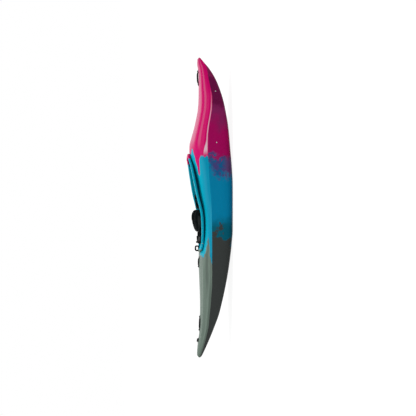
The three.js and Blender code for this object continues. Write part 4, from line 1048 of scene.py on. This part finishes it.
def swept(name, path, sides, section, loop):
    """Body that follows a path; its section lies across the path, with its width towards the sides."""
    path = np.asarray(path, float)
    sides = np.broadcast_to(np.asarray(sides, float), path.shape)
    if loop:
        along = np.roll(path, -1, axis=0) - np.roll(path, 1, axis=0)
    else:
        along = np.gradient(path, axis=0)
    along = along / np.linalg.norm(along, axis=1, keepdims=True)
    up = np.cross(along, sides)
    up = up / np.linalg.norm(up, axis=1, keepdims=True)
    across = np.cross(up, along)
    rings = [[tuple(p + a * u + v * w) for u, w in section] for p, a, v in zip(path, across, up)]
    item = ringed(name, rings, loop)
    smoothed(item.data, 45)
    return item


def joined(name, items):
    """One object out of several."""
    bm = bmesh.new()
    for item in items:
        bm.from_mesh(item.data)
        old = item.data
        bpy.data.objects.remove(item)
        bpy.data.meshes.remove(old)
    mesh = bpy.data.meshes.new(name)
    bm.to_mesh(mesh)
    bm.free()
    return new_object(name, mesh)


# Grab handles and security bar
HANDLE_FOOT_TOP = 0.0034  # over the deck, under the bolt's head
HANDLE_SINK = 0.004
HANDLE_STEPS = 90
HANDLE_FOOT_SHARE = 0.63
GRIP_REACH = 0.03
GRIP_PITCH = 0.0075
GRIP_DEPTH = 0.0007


def handle_frame(part):
    reach = (part["length"] - part["foot"]) / 2
    ends = [part["place"] - reach, part["place"] + reach]
    low, high = (float(deck_top_at(x, 0)) for x in ends)
    along = Vector((ends[1] - ends[0], 0, high - low)).normalized()
    middle = Vector((part["place"], 0, (low + high) / 2))
    return middle, along, Vector((-along.z, 0, along.x))


def handle_ring(part, place):
    """Section of a handle: sunk at its feet, arched over its recess, rounded off at its ends."""
    half = part["length"] / 2
    arch_reach = half - HANDLE_FOOT_SHARE * part["foot"]
    arch = 1 - min(1, abs(place) / arch_reach) ** 4
    end = max(0, (abs(place) - arch_reach) / (half - arch_reach))
    top = HANDLE_FOOT_TOP * (1 - 0.4 * end ** 3) + (part["rise"] - HANDLE_FOOT_TOP) * arch
    low = -HANDLE_SINK + (part["rise"] - part["thick"] + HANDLE_SINK) * arch
    grip = ease_between(GRIP_REACH, GRIP_REACH * 0.8, abs(place)) if abs(place) < GRIP_REACH else 0
    top -= GRIP_DEPTH * grip * (0.5 + 0.5 * math.cos(2 * math.pi * place / GRIP_PITCH))
    width = part["width"] / 2 * (1 - 0.5 * end ** 3)
    middle = (top + low) / 2
    return [(across, middle + up) for across, up in rounded_section(width, (top - low) / 2)]


def make_handle(node, part):
    middle, along, up = handle_frame(part)
    rings = []
    for place in np.linspace(-part["length"] / 2, part["length"] / 2, HANDLE_STEPS + 1):
        start = middle + along * float(place)
        rings.append([tuple(start + up * height + Vector((0, across, 0)))
                      for across, height in handle_ring(part, float(place))])
    item = ringed(node + "_moulding", rings)
    smoothed(item.data, 50)
    dressed(item, "boat", "black_plastic", BLACK, node)


for node, part in HANDLES.items():
    make_handle(node, part)


# Pull loop of doubled webbing at the back of the coaming
LOOP_PLACE = RIM_REAR + RIM_LIP
LOOP_LENGTH = 0.054
LOOP_HEIGHT = 0.043
LOOP_THICKNESS = 0.0135
LOOP_WIDTH = 0.02
LOOP_CORNER = 0.018
LOOP_TAIL = 0.032
LOOP_TAIL_PLACE = 0.00325
LOOP_TAIL_HALF = 0.0031
LOOP_STAND_OFF = 0.0012
LOOP_REST = float(rim_top_at(LOOP_PLACE)) + 2 * FIT_GAP


def rounded_path(half_length, half_height, corner):
    """Points round a rectangle with round corners."""
    points = []
    steps = 8
    for quarter, (x, z) in enumerate([(1, 1), (-1, 1), (-1, -1), (1, -1)]):
        for k in range(steps + 1):
            turn = (quarter + k / steps) * math.pi / 2
            points.append((x * (half_length - corner) + corner * math.cos(turn),
                           z * (half_height - corner) + corner * math.sin(turn)))
    return points


def make_pull_loop():
    inset = LOOP_THICKNESS / 2
    path = rounded_path(LOOP_LENGTH / 2 - inset, LOOP_HEIGHT / 2 - inset, LOOP_CORNER - inset)
    middle = LOOP_REST + LOOP_HEIGHT / 2
    ring = swept("loop_ring", [(LOOP_PLACE + x, 0, middle + z) for x, z in path], (0, 1, 0),
                 rounded_section(LOOP_WIDTH / 2, LOOP_THICKNESS / 2, 20, 0.45), True)
    tail_x = LOOP_PLACE + LOOP_STAND_OFF + LOOP_TAIL_PLACE
    heights = np.linspace(LOOP_REST - LOOP_TAIL, LOOP_REST + 0.003, 12)
    tail = swept("loop_tail", [(tail_x, 0, z) for z in heights], (0, 1, 0),
                 rounded_section(LOOP_WIDTH / 2, LOOP_TAIL_HALF, 20, 0.4), False)
    item = joined("rear_pull_loop_webbing", [ring, tail])
    dressed(item, "boat", "webbing", WEBBING, "rear_pull_loop")


make_pull_loop()


# Geometry nodes for what is repeated
GEOMETRY = "NodeSocketGeometry"
FINISH = "NodeSocketMaterial"


def new_repeat(name, *inputs):
    shape = ("Geometry", GEOMETRY)
    return new_tree("GeometryNodeTree", name, [shape, *inputs, ("Finish", FINISH)], [shape])


def stump(tree, low_radius, high_radius, height, base, sides):
    """Upright cylinder or cut cone that stands at a height."""
    made = add_node(tree, "GeometryNodeMeshCone", {
        "Vertices": sides, "Radius Bottom": low_radius, "Radius Top": high_radius, "Depth": height,
    })
    lift = add_node(tree, "ShaderNodeCombineXYZ", {"Z": base})
    feeds = {"Geometry": made.outputs["Mesh"], "Translation": lift.outputs[0]}
    return add_node(tree, "GeometryNodeTransform", feeds).outputs[0]


def joined_shapes(tree, *shapes):
    made = add_node(tree, "GeometryNodeJoinGeometry")
    for shape in reversed(shapes):
        tree.links.new(shape, made.inputs[0])
    return made.outputs[0]


def own_attribute(tree, name, kind):
    return add_node(tree, "GeometryNodeInputNamedAttribute", {"Name": name}, data_type=kind).outputs[0]


def repeated_at(tree, points, shape, direction, scale=(1, 1, 1), axis="Z", pivot_axis="AUTO"):
    """Copies of a shape at points, each with its axis turned to the point's own direction."""
    turn = add_node(tree, "FunctionNodeAlignRotationToVector", {"Vector": direction}, axis=axis,
                    pivot_axis=pivot_axis)
    feeds = {"Points": points, "Instance": shape, "Rotation": turn.outputs[0], "Scale": scale}
    return add_node(tree, "GeometryNodeInstanceOnPoints", feeds).outputs[0]


def finish_repeat(tree, shapes, inputs, outputs):
    real = add_node(tree, "GeometryNodeRealizeInstances", {0: shapes})
    feeds = {"Geometry": real.outputs[0], "Material": inputs["Finish"]}
    painted = add_node(tree, "GeometryNodeSetMaterial", feeds)
    tree.links.new(painted.outputs[0], outputs["Geometry"])
    return tree


def bolt_repeat():
    """Button head with a washer and a hex socket, on a shank of each bolt's own length."""
    tree, inputs, outputs = new_repeat(
        "bolts", ("Head Radius", FLOAT), ("Head Height", FLOAT), ("Shank Radius", FLOAT))

    def head_part(low_share, high_share, height_share, base_share, sides=16):
        wide = [times(tree, inputs["Head Radius"], share) for share in (low_share, high_share)]
        high = [times(tree, inputs["Head Height"], share) for share in (height_share, base_share)]
        return stump(tree, *wide, *high, sides)

    washer = head_part(1.0, 0.97, 0.26, 0.0)
    flank = head_part(0.86, 0.76, 0.5, 0.2)
    crown = head_part(0.78, 0.52, 0.36, 0.64)
    socket = head_part(0.34, 0.34, 1.0, 0.5, 6)
    hollow = add_node(tree, "GeometryNodeMeshBoolean", {"Mesh 1": crown, "Mesh 2": socket},
                      operation="DIFFERENCE")
    head = joined_shapes(tree, washer, flank, hollow.outputs[0])
    shank = stump(tree, inputs["Shank Radius"], inputs["Shank Radius"], 1.0, -1.0, 10)
    axis = own_attribute(tree, "axis", "FLOAT_VECTOR")
    reach = own_attribute(tree, "reach", "FLOAT")
    stretch = add_node(tree, "ShaderNodeCombineXYZ", {"X": 1, "Y": 1, "Z": reach}).outputs[0]
    heads = repeated_at(tree, inputs["Geometry"], head, axis)
    shanks = repeated_at(tree, inputs["Geometry"], shank, axis, stretch)
    return finish_repeat(tree, joined_shapes(tree, heads, shanks), inputs, outputs)


def stitch_repeat():
    """Short raised threads along lines, a stitch and a gap at a time."""
    tree, inputs, outputs = new_repeat(
        "stitches", ("Pitch", FLOAT), ("Stitch Length", FLOAT), ("Thread Radius", FLOAT))
    line = add_node(tree, "GeometryNodeMeshToCurve", {0: inputs["Geometry"]}).outputs[0]
    places = add_node(tree, "GeometryNodeCurveToPoints", {"Curve": line}, mode="LENGTH")
    tree.links.new(inputs["Pitch"], places.inputs["Length"])
    length, radius = inputs["Stitch Length"], inputs["Thread Radius"]
    thread = stump(tree, radius, radius, length, times(tree, length, -0.5), 6)
    copies = repeated_at(tree, places.outputs["Points"], thread, places.outputs["Tangent"])
    return finish_repeat(tree, copies, inputs, outputs)


def rib_repeat():
    """Plain bars, one for each point, all one size and turned about the upright only."""
    tree, inputs, outputs = new_repeat("ribs", ("Size", VECTOR))
    bar = add_node(tree, "GeometryNodeMeshCube", {"Size": inputs["Size"]}).outputs["Mesh"]
    axis = own_attribute(tree, "axis", "FLOAT_VECTOR")
    copies = repeated_at(tree, inputs["Geometry"], bar, axis, axis="X", pivot_axis="Z")
    return finish_repeat(tree, copies, inputs, outputs)


def run_repeat(name, mesh, tree, **sizes):
    """Object made by a geometry node tree from a mesh of points or lines."""
    item = new_object(name, mesh)
    made = item.modifiers.new("repeat", "NODES")
    made.node_group = tree
    sockets = tree.interface.items_tree
    names = {socket.name: socket.identifier for socket in sockets if socket.in_out == "INPUT"}
    for key, value in sizes.items():
        made[names[key.replace("_", " ")]] = value
    return evaluated(item)


def marked_points(name, places, axes, reaches=None):
    mesh = bpy.data.meshes.new(name)
    mesh.from_pydata([tuple(place) for place in places], [], [])
    axis = mesh.attributes.new("axis", "FLOAT_VECTOR", "POINT")
    axis.data.foreach_set("vector", np.asarray(axes, np.float32).ravel())
    if reaches is not None:
        carried(mesh, "reach", reaches)
    return mesh


def line_mesh(name, lines):
    points = [tuple(point) for line in lines for point in line]
    edges = []
    first = 0
    for line in lines:
        edges += [(first + k, first + k + 1) for k in range(len(line) - 1)]
        first += len(line)
    mesh = bpy.data.meshes.new(name)
    mesh.from_pydata(points, edges, [])
    return mesh


BOLTS = bolt_repeat()
STITCHES = stitch_repeat()
RIBS = rib_repeat()
BOLT_HEAD_RADIUS = 0.009
BOLT_HEAD_HEIGHT = 0.0045
RAIL_HEAD_SHARE = 0.66
SHANK_RADIUS = 0.003
RIVET_PLACE = -0.325
RIVET_REACH = 0.006
RIVET_HEAD_SHARE = 0.5
HEAD_POINTS_SHARE = 0.8  # of a bolt's radius, from which a point belongs to its head
BOLT_END_DEPTH = 0.0012


def bolt_line(node):
    """Where a bolt's head sits, its axis and its reach, from its solid."""
    points = np.unique(np.round(points_of(frame["nodes"][node].data), 6), axis=0)
    middle = points.mean(axis=0)
    axis = np.linalg.svd(points - middle)[2][0]
    height = (points - middle) @ axis
    away = np.linalg.norm(points - middle - height[:, None] * axis, axis=1)
    if height[away > HEAD_POINTS_SHARE * away.max()].mean() < (height.min() + height.max()) / 2:
        axis, height = -axis, -height
    ring = points[height < height.min() + BOLT_END_DEPTH]
    end = ring.mean(axis=0)
    normal = np.linalg.svd(ring - end)[2][2]
    axis = normal if normal @ axis > 0 else -normal
    reach = float(((points - end) @ axis).max()) - BOLT_HEAD_HEIGHT
    return end + axis * reach, axis, reach


def rivet_line(side):
    """Place on the outer edge of the coaming's lip, and the way it faces."""
    x, y = offset_outline(RIM_LIP, 400)
    k = int(np.argmin(np.abs(x - RIVET_PLACE) + (x > 0)))
    axis = np.array([y[k + 1] - y[k - 1], -(x[k + 1] - x[k - 1]), 0])
    axis = axis / np.linalg.norm(axis) * np.array([1, side, 1])
    if axis[1] * side < 0:
        axis = -axis
    height = float(lip_top_at(x[k])) - RIM_DROP - RIM_EDGE / 2
    return np.array([x[k], side * y[k], height]), axis, RIVET_REACH


def make_bolts(name, lines, nodes, material, share):
    places, axes, reaches = zip(*lines)
    item = run_repeat(name, marked_points(name, places, axes, reaches), BOLTS,
                      Head_Radius=BOLT_HEAD_RADIUS * share, Head_Height=BOLT_HEAD_HEIGHT * share,
                      Shank_Radius=SHANK_RADIUS, Finish=material)
    smoothed(item.data, 32)
    fitted(item, "boat", "steel", *nodes)


bolt_nodes = [name for name in frame["nodes"] if "_bolt" in name]
rail_bolts = [name for name in bolt_nodes if name.startswith("rail")]
dark_bolts = [name for name in bolt_nodes if not name.startswith("rail")]
make_bolts("rail_bolts", [bolt_line(name) for name in rail_bolts], rail_bolts, STEEL, RAIL_HEAD_SHARE)
make_bolts("dark_bolts", [bolt_line(name) for name in dark_bolts], dark_bolts, DARK_STEEL, 1)
make_bolts("rim_rivets", [rivet_line(1), rivet_line(-1)], [], STEEL, RIVET_HEAD_SHARE)

# Grip ribs on the foot pedals
RAIL_MIDDLE = (0.81745, 0.2146)
RAIL_DIRECTION = (0.97459, -0.223995)
PEDAL_PLATE_MIDDLE = -0.06  # across its rail
PEDAL_FACE = -0.0045
RIB_SIZE = (0.0022, 0.066, 0.0035)
RIB_HEIGHTS = np.arange(0.116, 0.206, 0.0125)


def make_pedal_ribs(side_name, side):
    dx, dy = RAIL_DIRECTION
    x = RAIL_MIDDLE[0] + dx * PEDAL_FACE - dy * PEDAL_PLATE_MIDDLE
    y = RAIL_MIDDLE[1] + dy * PEDAL_FACE + dx * PEDAL_PLATE_MIDDLE
    name = f"pedal_ribs_{side_name}"
    places = [(x, side * y, z) for z in RIB_HEIGHTS]
    mesh = marked_points(name, places, [(dx, side * dy, 0)] * len(places))
    item = run_repeat(name, mesh, RIBS, Size=RIB_SIZE, Finish=BLACK)
    fitted(item, f"{side_name}_pedal", "black_plastic")


make_pedal_ribs("left", 1)
make_pedal_ribs("right", -1)


# Padded pieces: an even mesh of the solid, drawn in, swollen by cloth and kept in the solid's space
SWELL_FRAMES = 20
SWELL_PRESSURE = 4.0
SWELL_SHARE = 1.25
BULGE_SHARE = 0.3
KEEP_MARGIN = 0.0002
BINDING_LIFT = 0.0008
STITCH_LIFT = 0.0003
STITCH_PITCH = 0.0052
STITCH_LENGTH = 0.0036
THREAD_RADIUS = 0.00055


def even_copy(name, node, voxel, drawn_in, rounding):
    """Rounded mesh of even faces in a solid's shape, drawn in by a depth."""
    mesh = frame["nodes"][node].data.copy()
    mesh.name = name
    item = new_object(name, tidied(mesh, 2e-5))
    even = item.modifiers.new("even mesh", "REMESH")
    even.mode = "VOXEL"
    even.voxel_size = voxel
    soften = item.modifiers.new("soften", "SMOOTH")
    soften.factor = 0.5
    soften.iterations = rounding
    evaluated(item)
    move_points(item.data, points_of(item.data) - normals_of(item.data) * drawn_in)
    return item


def normals_of(mesh):
    flat = np.zeros(3 * len(mesh.vertices))
    mesh.vertex_normals.foreach_get("vector", flat)
    return flat.reshape(-1, 3)


def swell_out(item, cap):
    """Swells a closed form by a share of its cap, and more where cloth under pressure bulges."""
    start = points_of(item.data)
    normals = normals_of(item.data)
    even = cap * SWELL_SHARE
    cloth = item.modifiers.new("swell", "CLOTH")
    cloth.settings.use_pressure = True
    cloth.settings.uniform_pressure_force = SWELL_PRESSURE
    cloth.settings.effector_weights.gravity = 0
    cloth.point_cache.frame_start = 1
    cloth.point_cache.frame_end = SWELL_FRAMES
    for number in range(1, SWELL_FRAMES + 1):
        bpy.context.scene.frame_set(number)
    graph = bpy.context.evaluated_depsgraph_get()
    shape = points_of(item.evaluated_get(graph).data)
    item.modifiers.clear()
    bpy.context.scene.frame_set(1)
    outward = ((shape - start) * normals).sum(axis=1)
    bulge = even * np.tanh((outward - np.median(outward)) / cap)
    move_points(item.data, start + normals * (even + BULGE_SHARE * bulge)[:, None])


def subdivide(item):
    finer = item.modifiers.new("finer", "SUBSURF")
    finer.levels = 1
    finer.render_levels = 1
    evaluated(item)


def surface_tree(mesh):
    points = [vertex.co.copy() for vertex in mesh.vertices]
    return BVHTree.FromPolygons(points, [tuple(face.vertices) for face in mesh.polygons])


def keep_inside(item, node):
    """Brings back the points that stand out of a solid's space."""
    tree = surface_tree(frame["nodes"][node].data)
    points = points_of(item.data)
    for i, point in enumerate(points):
        place, normal, _, _ = tree.find_nearest(Vector(point))
        if (Vector(point) - place).dot(normal) > -KEEP_MARGIN:
            points[i] = place - normal * KEEP_MARGIN
    move_points(item.data, points)


def press_in(item, depth_at):
    """Sews channels: moves each point in by a depth that depends on its place and the way it faces."""
    points = points_of(item.data)
    normals = normals_of(item.data)
    move_points(item.data, points - normals * depth_at(points, normals)[:, None])


def channel(distance, width, depth):
    return depth * np.exp(-((distance / width) ** 2))


def padded_piece(node, body, slot, material, voxel, cap, rounding, depth_at=None):
    """Padding in a solid's place: an even mesh, swollen, with its channels pressed in."""
    item = even_copy(node + "_swollen", node, voxel, cap, rounding)
    swell_out(item, cap)
    subdivide(item)
    if depth_at is not None:
        press_in(item, depth_at)
    keep_inside(item, node)
    item.data.shade_smooth()
    dressed(item, body, slot, material, node)
    return item


def laid_on(item, line, lift):
    """Points of a line moved onto a padded piece."""
    tree = surface_tree(item.data)
    nearest = [tree.find_nearest(Vector(point)) for point in line]
    return [place + normal * lift for place, normal, _, _ in nearest]


def stitched(name, item, lines, body, slot):
    """Rows of stitches laid on a padded piece."""
    laid = [laid_on(item, line, STITCH_LIFT) for line in lines]
    made = run_repeat(name, line_mesh(name, laid), STITCHES, Pitch=STITCH_PITCH,
                      Stitch_Length=STITCH_LENGTH, Thread_Radius=THREAD_RADIUS, Finish=THREAD)
    made.data.shade_smooth()
    fitted(made, body, slot)


# Seat pad
SEAT_PAD_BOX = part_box("seat_pad")
SEAT_PAD_MIDDLE = (np.array(SEAT_PAD_BOX[0]) + np.array(SEAT_PAD_BOX[1])) / 2
SEAT_PAD_SIZE = np.array(SEAT_PAD_BOX[1]) - np.array(SEAT_PAD_BOX[0])
SEAT_CROSS_LINES = (-0.075, 0.0, 0.075)  # from its middle
SEAT_SIDE_LINE = 0.09
SEAT_CHANNEL = (0.0032, 0.003)  # width and depth
STITCH_ASIDE = 0.005  # from a channel's middle
SEAT_LINE_END = 0.03  # from its ends
SEAT_PIPING_INSET = 0.0085  # from its sides, both together
SEAT_PIPING_SHARE = 0.55  # of its height
SEAT_PIPING_RADIUS = 0.0022


def seat_channels(points, normals):
    x = points[:, 0] - SEAT_PAD_MIDDLE[0]
    y = np.abs(points[:, 1])
    inside = y < SEAT_SIDE_LINE
    depth = channel(y - SEAT_SIDE_LINE, *SEAT_CHANNEL)
    for place in SEAT_CROSS_LINES:
        depth = np.maximum(depth, np.where(inside, channel(x - place, *SEAT_CHANNEL), 0))
    return depth * (normals[:, 2] > 0.2)


def piping(name, path, reference, body, slot, radius):
    """Round cord along a closed path."""
    item = swept(name, path, reference, rounded_section(radius, radius, 8, 1), True)
    dressed(item, body, slot, COVER)


def make_seat_pad():
    item = padded_piece("seat_pad", "seat", "foam", SOFT_BLACK, voxel=0.0055, cap=0.0035, rounding=4,
                        depth_at=seat_channels)
    top = SEAT_PAD_BOX[1][2]
    reach = SEAT_PAD_SIZE[0] / 2 - SEAT_LINE_END
    rows = SEAT_PAD_MIDDLE[0] + reach * np.linspace(-1, 1, 60)
    lines = [[(x, side * (SEAT_SIDE_LINE + STITCH_ASIDE), top) for x in rows] for side in (-1, 1)]
    for place in SEAT_CROSS_LINES:
        x = SEAT_PAD_MIDDLE[0] + place + STITCH_ASIDE
        lines.append([(x, y, top) for y in np.linspace(-SEAT_SIDE_LINE, SEAT_SIDE_LINE, 40)])
    stitched("seat_pad_stitches", item, lines, "seat", "foam")
    ring = rounded_section(*(SEAT_PAD_SIZE[:2] - SEAT_PIPING_INSET) / 2, 72, 0.5)
    height = SEAT_PAD_BOX[0][2] + SEAT_PIPING_SHARE * SEAT_PAD_SIZE[2]
    path = laid_on(item, [(SEAT_PAD_MIDDLE[0] + x, y, height) for x, y in ring], BINDING_LIFT)
    piping("seat_pad_piping", path, (0, 0, 1), "seat", "foam", SEAT_PIPING_RADIUS)


# Hip pads
HIP_CHANNEL = (0.0035, 0.0035)  # width and depth
HIP_STITCH_ASIDE = 0.006
HIP_STITCH_END = 0.012  # from its lower and upper edge
HIP_PIPING_INSET = 0.003
HIP_PIPING_SHARE = 0.45  # of its thickness
HIP_PIPING_RADIUS = 0.0018


def make_hip_pad(side_name, side):
    node = f"hip_pad_{side_name}"
    low, high = (np.array(corner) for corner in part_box(node))
    middle, size = (low + high) / 2, high - low

    def depth_at(points, normals):
        return channel(points[:, 0] - middle[0], *HIP_CHANNEL) * (normals[:, 1] * side < -0.2)

    item = padded_piece(node, "seat", "padded_fabric", COVER, voxel=0.0045, cap=0.0035, rounding=4,
                        depth_at=depth_at)
    inner = low[1] if side > 0 else high[1]
    heights = np.linspace(low[2] + HIP_STITCH_END, high[2] - HIP_STITCH_END, 24)
    asides = (-HIP_STITCH_ASIDE, HIP_STITCH_ASIDE)
    lines = [[(middle[0] + aside, inner, z) for z in heights] for aside in asides]
    stitched(node + "_stitches", item, lines, "seat", "padded_fabric")
    ring = rounded_section(size[0] / 2 - HIP_PIPING_INSET, size[2] / 2 - HIP_PIPING_INSET, 72, 0.5)
    place = inner + side * size[1] * HIP_PIPING_SHARE
    path = laid_on(item, [(middle[0] + x, place, middle[2] + z) for x, z in ring], BINDING_LIFT)
    piping(node + "_piping", path, (0, 1, 0), "seat", "padded_fabric", HIP_PIPING_RADIUS)


# Backband: its outer face in plan is a half ellipse with a straight wing at each end
BAND_MIDDLE = COCKPIT_CENTRE - 0.095
BAND_REACH = 0.165
BAND_HALF_WIDTH = 0.168
BAND_WING = 0.035
BAND_WING_SHARE = 0.12
BAND_HEIGHT = 0.158
BAND_OVER_RIM = 0.052
BAND_BACK_DROP = 0.02
BAND_THICKNESS = 0.026
BAND_NOSE_SHARE = 0.34
BAND_NOSE_DROP_SHARE = 0.3
BAND_NOSE_FULL_SHARE = 0.96
BAND_NOSE_FOOT_SHARE = 0.8
BAND_NOSE_THIN_SHARE = 0.35
BAND_SEAM_SHARES = (-0.62, 0.62)
BAND_SEAM_LENGTH = 0.33  # along the band for each step of 1
BAND_LINE_SHARES = (0.36, 0.68)  # of its height
BAND_LINES_END_SHARE = 0.85
BAND_CHANNEL = (0.0045, 0.005)  # width and depth
BAND_STITCH_SHARE = 0.03  # from a line, up or down
BAND_STITCH_END_SHARE = 0.8
BAND_EDGE_STITCH_SHARES = (0.1, 0.9)
BAND_EDGE_END_SHARE = 0.9
BINDING_DEPTH_SHARE = 0.36  # through its thickness
BINDING_EDGE_SHARE = 0.017
BINDING_END_SHARE = 0.985
BINDING_RADIUS = 0.0024


def band_point(u):
    """Place and outward direction on the band's outer face, from -1 at one nose to 1 at the other."""
    bend = 1 - BAND_WING_SHARE
    if abs(u) > bend:
        along = (abs(u) - bend) / BAND_WING_SHARE * BAND_WING
        side = math.copysign(1, u)
        return np.array([BAND_MIDDLE + along, side * BAND_HALF_WIDTH]), np.array([0, side])
    turn = u / bend * math.pi / 2
    normal = np.array([-math.cos(turn) / BAND_REACH, math.sin(turn) / BAND_HALF_WIDTH])
    place = np.array([BAND_MIDDLE - BAND_REACH * math.cos(turn), BAND_HALF_WIDTH * math.sin(turn)])
    return place, normal / np.linalg.norm(normal)


def band_edges(u):
    """Lower and upper edge of the band, and how near its nose a place is."""
    x = band_point(u)[0][0]
    back = max(0, (BAND_MIDDLE - x) / BAND_REACH)
    nose = max(0, (abs(u) - (1 - BAND_NOSE_SHARE)) / BAND_NOSE_SHARE)
    corner = BAND_HEIGHT * BAND_NOSE_DROP_SHARE * (1 - math.sqrt(1 - nose * nose * BAND_NOSE_FULL_SHARE))
    top = float(rim_top_at(x)) + BAND_OVER_RIM - BAND_BACK_DROP * back * back
    foot = float(rim_top_at(BAND_MIDDLE)) + BAND_OVER_RIM - BAND_HEIGHT
    return foot + corner * BAND_NOSE_FOOT_SHARE, top - corner, nose


def band_place(u, inward, up):
    """Point in the band: from 0 to 1 through its thickness, and from 0 to 1 up it."""
    place, normal = band_point(u)
    low, high, nose = band_edges(u)
    thick = BAND_THICKNESS * (1 - BAND_NOSE_THIN_SHARE * nose ** 3)
    plan = place - normal * inward * thick
    return (plan[0], plan[1], low + (high - low) * up)


def band_line(inward, up, reach, count):
    return [band_place(u, inward, up) for u in np.linspace(-reach, reach, count)]


def make_backband():
    samples = np.linspace(-1, 1, 401)
    plan = np.array([band_point(u)[0] for u in samples])

    def depth_at(points, _):
        nearest = np.array([np.argmin(np.hypot(*(plan - p[:2]).T)) for p in points])
        u = samples[nearest]
        edges = np.array([band_edges(v)[:2] for v in samples])
        low, high = edges[nearest].T
        up = (points[:, 2] - low) / (high - low)
        between = np.where(np.abs(u) > BAND_LINES_END_SHARE, 0, 1)
        lines = [channel((up - share) * BAND_HEIGHT, *BAND_CHANNEL) * between for share in BAND_LINE_SHARES]
        seams = [channel((u - seam) * BAND_SEAM_LENGTH, *BAND_CHANNEL) for seam in BAND_SEAM_SHARES]
        return np.maximum.reduce(lines + seams)

    item = padded_piece("backband_pad", "backband", "padded_fabric", COVER, voxel=0.0055, cap=0.004,
                        rounding=4, depth_at=depth_at)
    asides = (-BAND_STITCH_SHARE, BAND_STITCH_SHARE)
    lines = [band_line(1, share + aside, BAND_STITCH_END_SHARE, 90) for share in BAND_LINE_SHARES
             for aside in asides]
    lines += [band_line(inward, up, BAND_EDGE_END_SHARE, 110) for inward in (0, 1)
              for up in BAND_EDGE_STITCH_SHARES]
    stitched("backband_stitches", item, lines, "backband", "padded_fabric")
    upper = band_line(BINDING_DEPTH_SHARE, 1 - BINDING_EDGE_SHARE, BINDING_END_SHARE, 110)
    lower = band_line(BINDING_DEPTH_SHARE, BINDING_EDGE_SHARE, BINDING_END_SHARE, 110)[::-1]
    path = np.array(laid_on(item, upper + lower, BINDING_LIFT))
    sides = [(*band_point(u)[1], 0) for u in np.linspace(-BINDING_END_SHARE, BINDING_END_SHARE, 110)]
    sides = np.array(sides + sides[::-1])
    piping("backband_binding", path, sides, "backband", "padded_fabric", BINDING_RADIUS)


# Thigh pads
def make_thigh_pad(side_name):
    padded_piece(f"thigh_pad_{side_name}", f"{side_name}_thigh_brace", "foam", SOFT_BLACK, voxel=0.003,
                 cap=0.0014, rounding=3)


make_seat_pad()
make_backband()
for side_name, side in zip(SIDES, (1, -1)):
    make_hip_pad(side_name, side)
    make_thigh_pad(side_name)


# Floor, light and camera
FLOOR_REACH = 40.0
FLOOR_LIT = (0.72, 0.72, 0.72, 1)  # what the boat gets back from it
FLOOR_SEEN = (0.25, 0.25, 0.25, 1)  # what the eye sees, with a glow that makes it near white
FLOOR_GLOW = 0.92
ROOM_LIGHT = 0.42
LAMP_PLACE = (0.1, -0.25, 3.4)
LAMP_AIM = (0.1, 0, 0.2)
LAMP_SIZE = (5.4, 0.7)
LAMP_ENERGY = 75


def seen_rays(tree):
    """1 for rays that the eye sees, straight, mirrored or through glass, and 0 for the others."""
    rays = add_node(tree, "ShaderNodeLightPath").outputs
    seen = math_node(tree, "MAXIMUM", rays["Is Camera Ray"], rays["Is Glossy Ray"])
    return math_node(tree, "MAXIMUM", seen, rays["Is Transmission Ray"])


def make_floor():
    corners = [(x * FLOOR_REACH, y * FLOOR_REACH, 0) for x, y in ((-1, -1), (1, -1), (1, 1), (-1, 1))]
    floor = new_object("floor", mesh_of("floor", corners, [(0, 1, 2, 3)]))
    made = bpy.data.materials.new("pale_floor")
    made.use_nodes = True
    tree = made.node_tree
    tree.nodes.clear()
    lit = add_node(tree, "ShaderNodeBsdfDiffuse", {"Color": FLOOR_LIT}).outputs[0]
    soft = add_node(tree, "ShaderNodeBsdfDiffuse", {"Color": FLOOR_SEEN}).outputs[0]
    glow = add_node(tree, "ShaderNodeEmission", {"Strength": FLOOR_GLOW}).outputs[0]
    both = add_node(tree, "ShaderNodeAddShader", {0: soft, 1: glow}).outputs[0]
    mix = add_node(tree, "ShaderNodeMixShader", {0: seen_rays(tree), 1: lit, 2: both}).outputs[0]
    out = add_node(tree, "ShaderNodeOutputMaterial")
    tree.links.new(mix, out.inputs[0])
    floor.data.materials.append(made)


def make_world():
    """White room for the eye, and a weaker one for the light that falls on the boat."""
    world = bpy.data.worlds.new("white room")
    bpy.context.scene.world = world
    world.use_nodes = True
    tree = world.node_tree
    back = tree.nodes["Background"]
    back.inputs["Color"].default_value = (1, 1, 1, 1)
    strength = math_node(tree, "MULTIPLY_ADD", seen_rays(tree), 1 - ROOM_LIGHT, ROOM_LIGHT)
    tree.links.new(strength, back.inputs["Strength"])


def make_lamp():
    data = bpy.data.lights.new("top strip", "AREA")
    data.shape = "RECTANGLE"
    data.size, data.size_y = LAMP_SIZE
    data.energy = LAMP_ENERGY
    lamp = bpy.data.objects.new("top strip", data)
    lamp.location = LAMP_PLACE
    lamp.rotation_euler = (Vector(LAMP_AIM) - Vector(LAMP_PLACE)).to_track_quat("-Z", "Y").to_euler()
    bpy.context.scene.collection.objects.link(lamp)


CAMERA_DISTANCE = 12.0
CAMERA_ELEVATION = math.radians(5)
CAMERA_TARGET = Vector((-0.0046, 0, 0.205))
FRAME_WIDTH = 3.815
SENSOR_WIDTH = 36.0


def make_camera():
    data = bpy.data.cameras.new("camera")
    data.sensor_width = SENSOR_WIDTH
    data.lens = SENSOR_WIDTH * CAMERA_DISTANCE / FRAME_WIDTH
    camera = bpy.data.objects.new("camera", data)
    bpy.context.scene.collection.objects.link(camera)
    back = Vector((0, -math.cos(CAMERA_ELEVATION), math.sin(CAMERA_ELEVATION)))
    up = Vector((1, 0, 0))
    right = up.cross(back)
    turn = Matrix((right, up, back)).transposed().to_4x4()
    camera.matrix_world = Matrix.Translation(CAMERA_TARGET + back * CAMERA_DISTANCE) @ turn
    bpy.context.scene.camera = camera


make_floor()
make_world()
make_lamp()
make_camera()
bpy.context.scene.view_settings.view_transform = "Standard"
